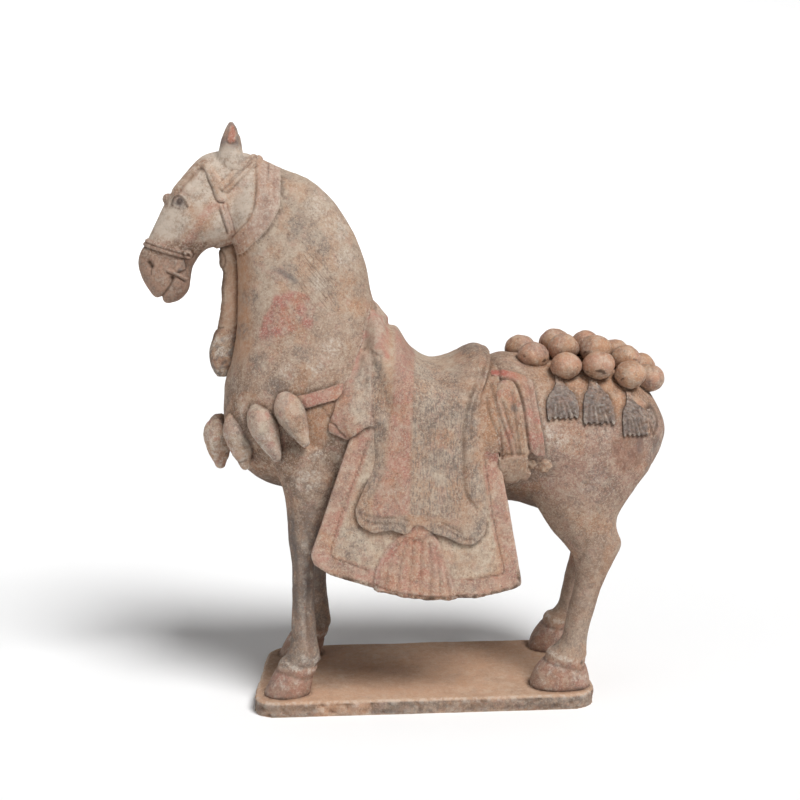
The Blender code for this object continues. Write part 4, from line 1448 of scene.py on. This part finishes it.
def paint_face(head, inside_band):
    side = head.outer
    head.wash(fade(head.y, -146, -160) * (1 - fade(inside_band, -1, 2)), cream=0.95)
    head.wash(fade(inside_band, -4, 0), cream=0.5)
    head.wash(fade(inside_band, -1, 3), pink=0.4)
    for y, z, radius in FACE_CREAM:
        head.dab(y, z, radius, side, cream=1, chalk=0.45)
        head.dab(y, z, radius * 1.3, side, calm=0.9)
    head.line(CHEEK_PAINT, 4.0, side, pink=0.65)
    head.line(CHEEK_PAINT, 9.0, side, ochre=0.6)
    head.line(BAND_FRONT, 3.0, ochre=0.6)
    head.paint(EYE_SHADE, 5, side, ochre=0.7)
    head.line(BROW_STRAP, 5, ochre=0.8, umber=0.4)
    head.line(KNOB_STRAP, 5, side, ochre=0.5)
    head.line(EAR_STRAP, 6, side, ochre=0.6)
    head.line(THROAT_LASH, 4, side, pink=0.5)
    head.line(NOSEBAND, 4.5, pink=0.4, umber=0.6)


def paint_muzzle_and_ears(head):
    side = head.outer
    muzzle = fade(head.z, 456, 436) * fade(head.y, -205, -215)
    head.strip(0.15 * muzzle, "cream")
    head.wash(muzzle, pink=0.4, ochre=0.2, chalk=0.3, calm=1)
    # Painted shade on the undersides of the head
    head.wash(head.facing_down(-0.3, -0.9), umber=0.3)
    boss = fade(head.y, -236.5, -239) * fade(head.z, 488, 492)
    head.strip(0.8 * boss, "cream")
    head.wash(boss, umber=0.6)
    # Painted shade under the jaw, orange-brown and darker towards the front of the throat
    throat = fade(head.z, 464, 452)
    head.wash(fade(head.y, -156, -168) * throat, ochre=1)
    head.wash(fade(head.y, -164, -176) * throat, umber=0.9)
    ears = fade(head.z, 541, 552)
    head.strip(0.7 * ears, "cream")
    head.blotch("ink", 7, 3, 0.35, 0.6, 0.4, ears, least=0.35)
    head.paint(EAR_PATCH, 1.5, side, ochre=1, red=0.75)
    head.strip(head.inside(EAR_PATCH, -1, 1) * side, "ink")
    head.line(EAR_PATCH[1:5], 1.0, side, dirt=0.4)
    head.wash(fade(head.z, 533, 541) * fade(head.z, 550, 545), chalk=0.6)


def model_throat_tassel():
    bm = bmesh.new()
    rows = smooth_rows(THROAT_TASSEL, 14)
    loft(bm, [ring((front, z), (rear, z), 0, half_width, 2.3) for z, front, rear, half_width in rows])
    bmesh.ops.recalc_face_normals(bm, faces=bm.faces[:])
    tassel = Skin(bm)
    tassel.hand_worked(0.6, 9)
    for crease in TASSEL_CREASES:
        tassel.press(crease, 1.8, 0.8, 1.0, 0.7)
    tassel.line(TASSEL_FRONT, 6, umber=0.8)
    ragged = tassel.mottle(5, 4, 0.36, 0.52, (1, 1, 3))
    tassel.line(TASSEL_FRONT, 3.4, 0.4 + 0.6 * ragged, dirt=0.8)
    tassel.blotch("umber", 14, 8, 0.35, 0.65, 0.15)
    tassel.wash(0.6 + 0.4 * fade(tassel.y, -184, -176), ochre=1)
    tassel.wash(fade(tassel.z, 366, 376), cream=0.75, calm=0.6)
    tassel.wash(fade(tassel.z, 425, 440), umber=0.45)
    foot = fade(tassel.z, 372, 360)
    tassel.blotch("chalk", 9, 9, 0.42, 0.6, 1, foot)
    tassel.wash(foot, cream=0.6)
    tassel.blotch("umber", 7, 19, 0.45, 0.58, 0.9, foot)
    tassel.blotch("ink", 4, 23, 0.55, 0.66, 0.6, foot)
    tassel.wash(fade(tassel.z, 338, 328), umber=0.8)
    add_piece("throat_tassel", tassel, fired_clay("tassel_slip", 0.3, 0.4))


def pendant(bm, top, tip):
    """A drop of clay that hangs from top to tip."""
    length = (tip - top).length
    axis = (tip - top) / length
    across = axis.cross(Vector((0, 0, 1))).normalized()
    out = axis.cross(across)
    rings = []
    for along, share in smooth_rows(PENDANT_PROFILE, 7):
        middle = top + axis * along * length
        radius = share * PENDANT_DIAMETER / 2 * MM
        turns = [2 * math.pi * step / RING_SIDES for step in range(RING_SIDES)]
        rings.append([middle + (across * math.cos(turn) + out * math.sin(turn)) * radius for turn in turns])
    loft(bm, rings)


def model_pendants():
    bm = bmesh.new()
    for top_x, top_y, top_z, tip_x, tip_y, tip_z in PENDANTS:
        for side in (1, -1):
            pendant(bm, placed(side * top_x, top_y, top_z), placed(side * tip_x, tip_y, tip_z))
    bmesh.ops.recalc_face_normals(bm, faces=bm.faces[:])
    pendants = Skin(bm)
    pendants.hand_worked(0.9, 13)
    pendants.press(PENDANT_CREASE, 2.0, 0.8, pendants.outer, 0.6)
    pendants.blotch("cream", 16, 2, 0.35, 0.6, 0.5, least=0.5)
    pendants.blotch("grey", 13, 6, 0.48, 0.66, 0.6)
    pendants.blotch("pink", 14, 11, 0.42, 0.6, 0.5)
    pendants.blotch("red", 8, 14, 0.66, 0.76, 0.5)
    pendants.blotch("umber", 12, 19, 0.5, 0.68, 0.5)
    pendants.wash(fade(pendants.y, -182, -192), ochre=0.8, umber=0.35)
    # Painted shade on the pendants' undersides
    pendants.wash(pendants.facing_down(-0.2, -0.8), umber=0.4)
    pendants.blotch("chalk", 9, 3, 0.38, 0.58, 0.65, fade(pendants.z, 288, 270) * 0.8, least=0.35)
    add_piece("chest_pendants", pendants, fired_clay("pendant_slip", 0.35, 0.45))


def model_saddle(saddled, bare):
    bm = bmesh.new()
    saddle(bm)
    cover_outline = COVER_LEFT + COVER_BOTTOM + COVER_RIGHT
    laid_on(bm, saddled, cover_outline, COVER_RELIEF, thinned=cover_thinned)
    laid_on(bm, saddled, BLANKET, BLANKET_RELIEF, BLANKET_SPAN)
    laid_on(bm, saddled, CANTLE_ROLL, ROLL_RELIEF)
    laid_on(bm, bare, SADDLE_SKIRT, SKIRT_RELIEF)
    cloth = Skin(fused(bm, CLOTH_CELL, 5))
    skirt = cloth.inside(SADDLE_SKIRT, -2, 1) * fade(cloth.y, 40, 52)
    cloth.hand_worked(0.5, 22)
    fold_cloth(cloth, cover_outline, skirt)
    paint_cover(cloth, cover_outline)
    paint_blanket(cloth, cover_outline)
    cloth.wash(skirt, ochre=0.6)
    cloth.paint(BARE_CLOTH, 2, skirt, ochre=1, umber=0.35)
    cloth.wash(fade(cloth.y, 55, 62) * fade(cloth.z, 270, 300), ochre=0.3)
    cloth.dabs(CANTLE_DABS, grey=0.7, umber=0.4)
    # A dark line under the cantle's edge: painted shade with dirt
    cloth.line(CANTLE_EDGE, 1.4, dirt=0.6)
    # Painted shade on the cloth's undersides
    cloth.wash(cloth.facing_down(), umber=0.7)
    add_piece("saddle_and_cover", cloth, fired_clay("saddle_cloth_paint", 0.5, 0.4))


def fold_cloth(cloth, cover_outline, skirt):
    """The hems, folds and thin edges of the cover, the blanket and the skirt."""
    side = cloth.outer
    cloth.feather(BLANKET, 10, 2.3, (cloth.y < -40) * fade(cloth.z, 296, 312))
    cloth.feather(cover_outline, 6, 1.3, (cloth.y < -38) * fade(cloth.z, 284, 290))
    worn_hem = 0.25 + 0.75 * cloth.mottle(16, 31, 0.4, 0.58)
    cloth.lift += side * (cloth.patches(5, 17, (1, 1, 5)) - 0.5) * 0.7
    for paths, width, depth, where, dirt in (
        (COVER_HEMS, 2.6, 0.9, side * worn_hem, 0.35),
        ((COVER_FOLD,), 4.5, 1.6, side, 0.4),
        (STRIPE_EDGES, 1.8, 0.25, side, 0.08),
        ((CANTLE_GROOVE,), 3.0, 0.9, side, 0.35),
        (BLANKET_FOLDS, 6.0, 0.6, side, 0.05),
        ((BLANKET_CRACK,), 1.8, 0.9, cloth.near, 0.8),
        (CLOTH_FOLDS[:2], 3.0, 1.2, skirt, 0.3),
    ):
        for path in paths:
            cloth.press(path, width, depth, where, dirt)


def paint_cover(cloth, cover_outline):
    cover = cloth.inside(cover_outline, -3, 1)
    cloth.wash(cover, cream=0.35)
    cloth.blotch("ochre", 22, 44, 0.42, 0.62, 0.45, cover, least=0.15)
    seat = fade(cloth.z, 318, 340) * fade(cloth.y, 44, 30)
    cloth.wash(seat, cream=1, calm=0.5)
    stripe = cloth.inside(PINK_STRIPE, -2, 3)
    cloth.wash(stripe, pink=0.85)
    cloth.strip(0.6 * stripe, "cream")
    cloth.blotch("brushed", 30, 6, 0.42, 0.64, 0.5, stripe)
    field = cloth.inside(BRUSHED_FIELD, -1, 2)
    cloth.wash(field, brushed=0.9)
    cloth.blotch("cream", 20, 61, 0.42, 0.58, 0.8, field)
    cloth.blotch("ochre", 18, 19, 0.5, 0.66, 0.4, field)
    cloth.blotch("grey", 26, 9, 0.38, 0.58, 0.65, field)
    uneven = 0.5 + 0.5 * cloth.mottle(9, 51, 0.38, 0.56, (1, 1, 2))
    for patch in COVER_GREYS:
        cloth.paint(patch, 5, uneven, grey=0.95)
        cloth.paint(patch, 5, brushed=0.8)
    cloth.paint(OCHRE_STRIPE, 4, ochre=0.6)


def paint_blanket(cloth, cover_outline):
    blanket = cloth.inside(BLANKET, -2, 2) * (1 - cloth.inside(cover_outline, -3, 1))
    cloth.blotch("pink", 24, 2, 0.4, 0.6, 0.55, blanket, least=0.35)
    cloth.blotch("red", 9, 12, 0.58, 0.7, 0.5, blanket)
    pale = cloth.inside(BLANKET_PALE, -4, 4)
    cloth.strip(0.8 * pale, "pink", "red")
    cloth.wash(pale, cream=1, brushed=0.5)
    cloth.blotch("grey", 8, 35, 0.48, 0.62, 0.5, pale, stretch=(1, 1, 2))


def model_flap(name, side, finish):
    bm = bmesh.new()
    flap(bm, side)
    hanging = Skin(fused(bm, FLAP_CELL, 4))
    out = hanging.outer
    hanging.hand_worked(0.45, 24)
    fan = FAN_LEFT + FAN_RIGHT[::-1]
    hanging.raise_within(fan, 1.9, 2.4, out)
    hanging.raise_within(FAN_NECK, 1.8, 4.5, out)
    for paths, width, depth, where, dirt in (
        ((FLAP_BORDER_FRONT, FLAP_BORDER_REAR), 1.5, 0.7, out, 0.5),
        ((FAN_LEFT, FAN_RIGHT), 1.8, 0.5, out, 0.15),
        (FAN_RIBS, 3.2, 1.2, out, 0.05),
        ((FLAP_RIM,), 1.8, 0.8, fade(hanging.z, 142, 134) * out, 0.6),
    ):
        for path in paths:
            hanging.press(path, width, depth, where, dirt)
    inwards = hanging.within(FLAP_OUTLINE)
    field = fade(inwards, FLAP_BORDER - 2, FLAP_BORDER + 2)
    border = 1 - field
    inside_fan = hanging.inside(fan, -2, 2)
    bare_field = field * (1 - inside_fan)
    hanging.blotch("cream", 18, 11, 0.35, 0.6, 0.5, bare_field, least=0.45)
    hanging.blotch("ochre", 28, 2, 0.45, 0.62, 0.3, bare_field)
    hanging.wash(bare_field, brushed=0.25)
    for edge in (FLAP_BORDER_FRONT, FLAP_BORDER_REAR):
        hanging.line(shifted(edge, 0, 1), 3.0, out, ochre=0.6)
    hanging.blotch("pink", 20, 13, 0.35, 0.55, 0.45, border, least=0.4)
    hanging.blotch("cream", 16, 16, 0.5, 0.66, 0.5, border)
    hanging.blotch("grey", 22, 8, 0.45, 0.65, 0.45, border)
    hanging.wash(inside_fan * (0.45 + 0.55 * fade(hanging.off(FAN_LEFT), 14, 3)), pink=1)
    hanging.blotch("red", 9, 3, 0.5, 0.65, 0.35, inside_fan)
    hanging.wash(inside_fan * fade(hanging.off(FAN_MIDDLE), 16, 4), ochre=0.75)
    hanging.wash(fade(hanging.z, 215, 235) * fade(hanging.y, 40, 60), ochre=0.4)
    hanging.paint(BROWN_CORNER, 2, out, umber=0.9)
    hanging.paint(BROWN_CORNER, 3, out, red=0.5)
    hanging.paint(FLAP_GREY, 5, grey=0.8)
    # The lower rim is painted dark as shade, with black specks
    lower_rim_shade_and_specks = fade(hanging.z, 150, 140) * fade(inwards + 3 * hanging.patches(6, 7), 6.5, 4.0)
    hanging.wash(lower_rim_shade_and_specks, umber=1)
    hanging.blotch("dirt", 4, 5, 0.52, 0.64, 0.9, lower_rim_shade_and_specks)
    # Painted shade on the undersides, the inner face and the edges
    hanging.wash(hanging.facing_down(), umber=1)
    hanging.wash(1 - out, umber=0.7)
    add_piece(name, hanging, finish)


def model_straps(bare):
    bm = bmesh.new()
    for outline, relief in (
        (FOLDED_CLOTH, CLOTH_RELIEF), (RIBBED_STRIP, CLOTH_RELIEF), (RED_STRAP, CLOTH_RELIEF),
        (GIRTH_BLOCK, BLOCK_RELIEF), *((lump, LUMP_RELIEF) for lump in GIRTH_LUMPS),
        (CHEST_STRAP, STRAP_RELIEF),
    ):
        laid_on(bm, bare, outline, relief)
    straps = Skin(fused(bm, STRAP_CELL, 4))
    side = straps.outer
    lump = np.zeros(len(straps.points))
    straps.hand_worked(0.5, 8)
    for outline in GIRTH_LUMPS:
        lump = np.maximum(lump, straps.inside(outline, -2, 2) * side)
        straps.feather(outline, 4, 1.4)
    straps.lift += lump * (straps.patches(4, 3) - 0.5) * 4.0
    striped = side * (straps.z > 250) * (straps.y > 40)
    straps.lift += striped * (straps.patches(2.2, 6, (1, 1, 9)) - 0.5) * 1.0
    for fold in CLOTH_FOLDS:
        straps.press(fold, 3.0, 1.2, side, 0.3)
    rough = 0.6 + 0.4 * straps.mottle(9, 41, 0.4, 0.6)
    straps.press(CLOTH_GAP, 2.4, 2.6, side * rough, 0.8)
    # A dark line under the folded cloth's foot: painted shade with dirt
    straps.line(CLOTH_FOOT, 1.1, side * rough, dirt=0.6)
    straps.feather(FOLDED_CLOTH, 7, 3.6, fade(straps.y, 78, 72))
    straps.press(STRIP_MIDDLE, 2.4, 0.6, side, 0.12)
    # A dark hollow under the girth block: dirt with painted shade
    straps.dent(*GIRTH_HOLLOW, 3.2, 4.0, side, 1.0)
    cloth = straps.inside(FOLDED_CLOTH, -2, 1)
    strip = straps.inside(RIBBED_STRIP, -2, 1)
    straps.wash(cloth, ochre=0.6, brushed=0.45)
    straps.paint(BARE_CLOTH, 2, side, ochre=1, umber=0.35)
    straps.paint(PEACH_FOLD, 2, side, ochre=0.8, pink=0.4)
    straps.paint(CLOTH_TOP, 3, side, cream=0.9)
    for coat, y, z, radius in CLOTH_SPOTS:
        straps.dab(y, z, radius, side, **{coat: 0.6})
    straps.blotch("cream", 16, 4, 0.42, 0.58, 0.8, cloth)
    straps.blotch("umber", 2.6, 21, 0.58, 0.7, 0.3, striped, stretch=(1, 1, 6))
    straps.blotch("red", 12, 8, 0.58, 0.7, 0.5, cloth)
    straps.blotch("red", 10, 2, 0.45, 0.62, 0.6, strip)
    straps.wash(strip, pink=0.45)
    straps.paint(RED_STRAP, 2, side * fade(straps.y, 97, 88), red=1)
    straps.paint(RED_STRAP, 2, side, ochre=0.7, calm=0.5, pink=0.5)
    straps.paint(CHEST_STRAP, 3, side, pink=0.8, red=0.3)
    straps.paint(GIRTH_BLOCK, 2, side, cream=0.45, ochre=0.5, brushed=0.3)
    straps.wash(lump, ochre=0.6, cream=0.6)
    # Painted shade on the straps' undersides
    straps.wash(straps.facing_down(), umber=0.8)
    add_piece("saddle_straps", straps, fired_clay("strap_paint", 0.3, 0.35))


def scalloped(first, last, lobes, drop):
    """A line from one point to another that hangs down in round lobes."""
    points = []
    for lobe in range(lobes):
        for share in (0.0, 0.12, 0.3, 0.5, 0.7, 0.88):
            y, z = between(first, last, (lobe + share) / lobes)
            points.append((y, z - drop * math.sin(math.pi * share) ** 0.6))
    return tuple(points)


def model_croup_tassels(bare):
    bm = bmesh.new()
    for right, left in CROUP_TASSELS:
        foot = scalloped(right[-1], left[0], TASSEL_LOBES, TASSEL_FOOT_DROP)
        laid_on(bm, bare, right[:-1] + foot + left, TASSEL_RELIEF)
    laid_on(bm, bare, REAR_TASSEL, REAR_TASSEL_RELIEF)
    tassels = Skin(fused(bm, TASSEL_CELL, 4))
    side = tassels.outer
    tassels.hand_worked(0.5, 6)
    for right, left in CROUP_TASSELS:
        top = ((right[0][0] + left[-1][0]) / 2, right[0][1])
        for lobe in range(1, TASSEL_LOBES):
            foot = between(right[-1], left[0], lobe / TASSEL_LOBES)
            tassels.press((between(top, foot, 0.7), (foot[0], foot[1] - 2)), 2.2, 1.3, side, 0.3)
        below = fade(tassels.z, top[1] - 2, top[1] - 12)
        tassels.wash(fade(np.abs(tassels.y - top[0]), 22, 18) * below, ink=0.75)
    tassels.lift += side * (tassels.patches(5, 4) - 0.5) * 1.6
    tassels.lift += side * (tassels.patches(2.6, 9) - 0.5) * 0.9
    tassels.coats["ink"] *= 0.75 + 0.25 * tassels.mottle(8, 2, 0.35, 0.6)
    tassels.blotch("chalk", 2.6, 5, 0.56, 0.66, 0.8)
    tassels.blotch("dirt", 2.8, 25, 0.55, 0.65, 0.6)
    tassels.wash(1.0, grey=0.5)
    tassels.paint(REAR_TASSEL, 2, side, ink=0.4)
    tassels.line(REAR_TASSEL_LINE, 1.6, side, dirt=0.7)
    tassels.blotch("ochre", 6, 43, 0.52, 0.64, 0.5)
    add_piece("croup_tassels", tassels, fired_clay("tassel_pigment", 0.8, 0.5, film=0.06))


def model_croup_balls():
    bm = bmesh.new()
    for number, (x, y, z) in enumerate(BALLS):
        size = BALL_DIAMETER * (1 + 0.03 * math.sin(number * 2.4))
        clay_ball(bm, x, y, z, size, (1.0, 1.04, 0.94 + 0.03 * math.cos(number * 1.7)), 5)
    balls = Skin(bm)
    balls.hand_worked(1.1, 15)
    centres = np.array([placed(*place)[:] for place in BALLS])
    off = np.sort(np.linalg.norm(balls.points[:, None] - centres[None], axis=2), axis=1) / MM
    up = balls.normals[:, 2]
    # Painted shade and dirt where the balls touch
    balls.wash(fade(off[:, 1] - BALL_DIAMETER / 2, 3.2, 0.3), contact=1)
    balls.blotch("ochre", 24, 1, 0.35, 0.6, 0.55, least=0.35)
    balls.blotch("pink", 20, 4, 0.4, 0.65, 0.5)
    # Painted light: cream on the tops of the balls
    balls.blotch("cream", 10, 6, 0.42, 0.62, 0.5, fade(up, 0.0, 0.7))
    # Painted shade on the lower parts of the balls
    balls.wash(fade(up, 0.1, -0.7), umber=0.6)
    balls.blotch("grey", 12, 8, 0.58, 0.7, 0.5)
    cracked = balls.mottle(3.4, 14, 0.7, 0.76, (1, 2.2, 1)) * balls.mottle(14, 17, 0.5, 0.6)
    balls.wash(cracked * fade(up, 0.6, -0.1), dirt=1)
    finish = fired_clay("ball_clay", 0.3, 0.25, ground=tone(188, 148, 121), roughness=0.52, film=0.07)
    add_piece("croup_balls", balls, finish)


def model_slab():
    bm = bmesh.new()
    high = SLAB_HIGH
    size = Matrix.Diagonal((2 * high.x, 2 * high.y, high.z, 1))
    bmesh.ops.create_cube(bm, size=1, matrix=Matrix.Translation((0, 0, high.z / 2)) @ size)
    for corner in bm.verts:
        if corner.co.x < 0 and corner.co.y < 0:
            corner.co.y += SLAB_FRONT_SKEW * MM
    upright = [edge for edge in bm.edges if abs(edge.verts[0].co.z - edge.verts[1].co.z) > MM]
    bmesh.ops.bevel(bm, geom=upright, offset=SLAB_CORNER * MM, segments=8, profile=0.5,
                    affect="EDGES", material=-1)
    slab = Skin(fused(bm, SLAB_CELL, 1))
    upward = fade(slab.normals[:, 2], 0.3, 0.8)
    downward = slab.facing_down()
    rim = (1 - upward) * (1 - downward)
    slab.hand_worked(0.5, 30)
    slab.lift -= rim * slab.mottle(18, 3, 0.45, 0.75) * 2.0
    slab.lift -= rim * slab.mottle(7, 6, 0.55, 0.75) * 1.6
    slab.lift *= 1 - downward
    slab.wash(upward, ochre=0.5, calm=0.7)
    along = (1, 4, 0.7)
    slab.blotch("ochre", 22, 12, 0.5, 0.62, 0.7, rim, stretch=along)
    slab.blotch("cream", 9, 2, 0.52, 0.64, 0.35, rim, stretch=along)
    slab.blotch("grey", 11, 8, 0.4, 0.6, 0.3, rim, least=0.7, stretch=along)
    slab.blotch("umber", 8, 15, 0.4, 0.6, 0.45, rim, least=0.55, stretch=along)
    slab.blotch("dirt", 7, 25, 0.45, 0.62, 0.3, rim, least=0.2, stretch=along)
    slab.wash(rim, calm=0.5)
    cracked_stretch = fade(slab.y, -108, -102) * fade(slab.y, -50, -56) * rim * slab.near
    slab.strip(0.7 * cracked_stretch, "grey", "umber", "dirt", "cream")
    slab.wash(cracked_stretch, ochre=0.8)
    slab.press(SLAB_CRACK, 1.6, 0.7, slab.near * rim, 0.8)
    # The top darker towards the front end, partly a painted shadow of the forelegs
    slab.wash(upward * fade(slab.y, -112, -158), umber=0.4)
    slab.blotch("umber", 46, 5, 0.5, 0.7, 0.2, upward)
    off_edge = np.minimum(slab.y - SLAB_LOW.y / MM, high.y / MM - slab.y)
    slab.wash(upward * fade(off_edge, 30, 4), umber=0.3)
    slab.blotch("cream", 60, 21, 0.5, 0.7, 0.3, upward)
    finish = fired_clay("slab_clay", 0.2, 0.2, tone(193, 162, 138), tone(177, 145, 121), film=0.0)
    add_piece("standing_slab", slab, finish, "base_slab")


def model_horse():
    bm = bmesh.new()
    add_body(bm)
    spined_form(bm, HEAD)
    bare = BVHTree.FromBMesh(bm)
    saddle(bm)
    flap(bm, 1)
    flap(bm, -1)
    saddled = BVHTree.FromBMesh(bm)
    bm.free()
    model_body()
    model_head()
    model_throat_tassel()
    model_pendants()
    model_saddle(saddled, bare)
    flap_paint = fired_clay("flap_paint", 0.3, 0.4, tone(180, 152, 131), tone(158, 128, 107),
                            cream=tone(208, 192, 171), film=0.14)
    model_flap("near_flap", 1, flap_paint)
    model_flap("far_flap", -1, flap_paint)
    model_straps(bare)
    model_croup_tassels(bare)
    model_croup_balls()
    model_slab()


# Studio, in metres: a pale dish for a floor, a soft high key from the right, and a fill from the left
FLOOR_FLAT = 3.4
FLOOR_RISE = 1.5
FLOOR_HOLE = 0.001
FLOOR_STEPS = 12
FLOOR_TURNS = 72
PAPER = tone(249, 249, 249)
PAPER_SHADE = tone(246, 246, 246)
KEY_FROM = (0.8, 0.6, 1.35)
KEY_STRENGTH = 3.3
KEY_SOFTNESS = 26.0
FILL_FROM = (1.0, -1.1, 0.8)
FILL_STRENGTH = 0.3
FILL_SOFTNESS = 60.0
SKY_STRENGTH = 0.15

# Camera, fitted to the slab's corners and the hooves in the photograph
CAMERA_TARGET = Vector((0, -0.0175, 0.297))
CAMERA_DISTANCE = 1.317
CAMERA_TURN = math.radians(2.5)
CAMERA_RISE = math.radians(9.06)
CAMERA_ROLL = math.radians(0.7)
CAMERA_LENS = 59.27
CAMERA_SENSOR = 36


def lay_floor():
    bm = bmesh.new()
    verts = [bm.verts.new((FLOOR_HOLE, 0, 0)), bm.verts.new((FLOOR_FLAT, 0, 0))]
    for step in range(1, FLOOR_STEPS + 1):
        angle = math.pi / 2 * step / FLOOR_STEPS
        away = FLOOR_FLAT + FLOOR_RISE * math.sin(angle)
        verts.append(bm.verts.new((away, 0, FLOOR_RISE * (1 - math.cos(angle)))))
    edges = [bm.edges.new(pair) for pair in zip(verts, verts[1:])]
    bmesh.ops.spin(bm, geom=verts + edges, cent=(0, 0, 0), axis=(0, 0, 1), dvec=(0, 0, 0),
                   angle=2 * math.pi, steps=FLOOR_TURNS, use_merge=True)
    rims = [edge for edge in bm.edges if edge.is_boundary]
    middle = [edge for edge in rims if edge.verts[0].co.xy.length < 2 * FLOOR_HOLE]
    bmesh.ops.holes_fill(bm, edges=middle)
    bmesh.ops.recalc_face_normals(bm, faces=bm.faces[:])
    mesh = bpy.data.meshes.new("studio_floor")
    bm.to_mesh(mesh)
    bm.free()
    mesh.shade_smooth()
    paper = Finish("studio_paper", PAPER)
    paper.lay(PAPER_SHADE, paper.cloud(400, 2), 0.5)
    mesh.materials.append(paper.close(paper.cloud(2, 2), 0.02, 0.1, 0.95))
    floor = shown("studio_floor", mesh)
    floor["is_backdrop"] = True


def hang_light(name, origin, strength, softness):
    lamp = bpy.data.lights.new(name, "SUN")
    lamp.energy = strength
    lamp.angle = math.radians(softness)
    light = shown(name, lamp)
    light.rotation_euler = Vector(origin).to_track_quat("Z", "Y").to_euler()
    light.location = Vector(origin)


def light_studio():
    world = bpy.data.worlds.new("studio")
    world.use_nodes = True
    sky = world.node_tree.nodes["Background"]
    sky.inputs["Color"].default_value = (1, 1, 1, 1)
    sky.inputs["Strength"].default_value = SKY_STRENGTH
    bpy.context.scene.world = world
    hang_light("key", KEY_FROM, KEY_STRENGTH, KEY_SOFTNESS)
    hang_light("fill", FILL_FROM, FILL_STRENGTH, FILL_SOFTNESS)
    bpy.context.scene.view_settings.view_transform = "Standard"


def set_camera():
    level = math.cos(CAMERA_RISE)
    back = Vector((level * math.cos(CAMERA_TURN), -level * math.sin(CAMERA_TURN), math.sin(CAMERA_RISE)))
    right = (-back).cross(Vector((0, 0, 1))).normalized()
    upright = right.cross(-back)
    across = right * math.cos(CAMERA_ROLL) - upright * math.sin(CAMERA_ROLL)
    up = upright * math.cos(CAMERA_ROLL) + right * math.sin(CAMERA_ROLL)
    lens = bpy.data.cameras.new("camera")
    lens.lens = CAMERA_LENS
    lens.sensor_width = CAMERA_SENSOR
    lens.sensor_height = CAMERA_SENSOR
    lens.sensor_fit = "HORIZONTAL"
    camera = shown("camera", lens)
    turn = Matrix((across, up, back)).transposed().to_4x4()
    camera.matrix_world = Matrix.Translation(CAMERA_TARGET + back * CAMERA_DISTANCE) @ turn
    bpy.context.scene.camera = camera


model_horse()
mark_contacts()
lay_floor()
light_studio()
set_camera()

[[list(corner) for corner in box] for box in (cad_bounds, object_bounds())]
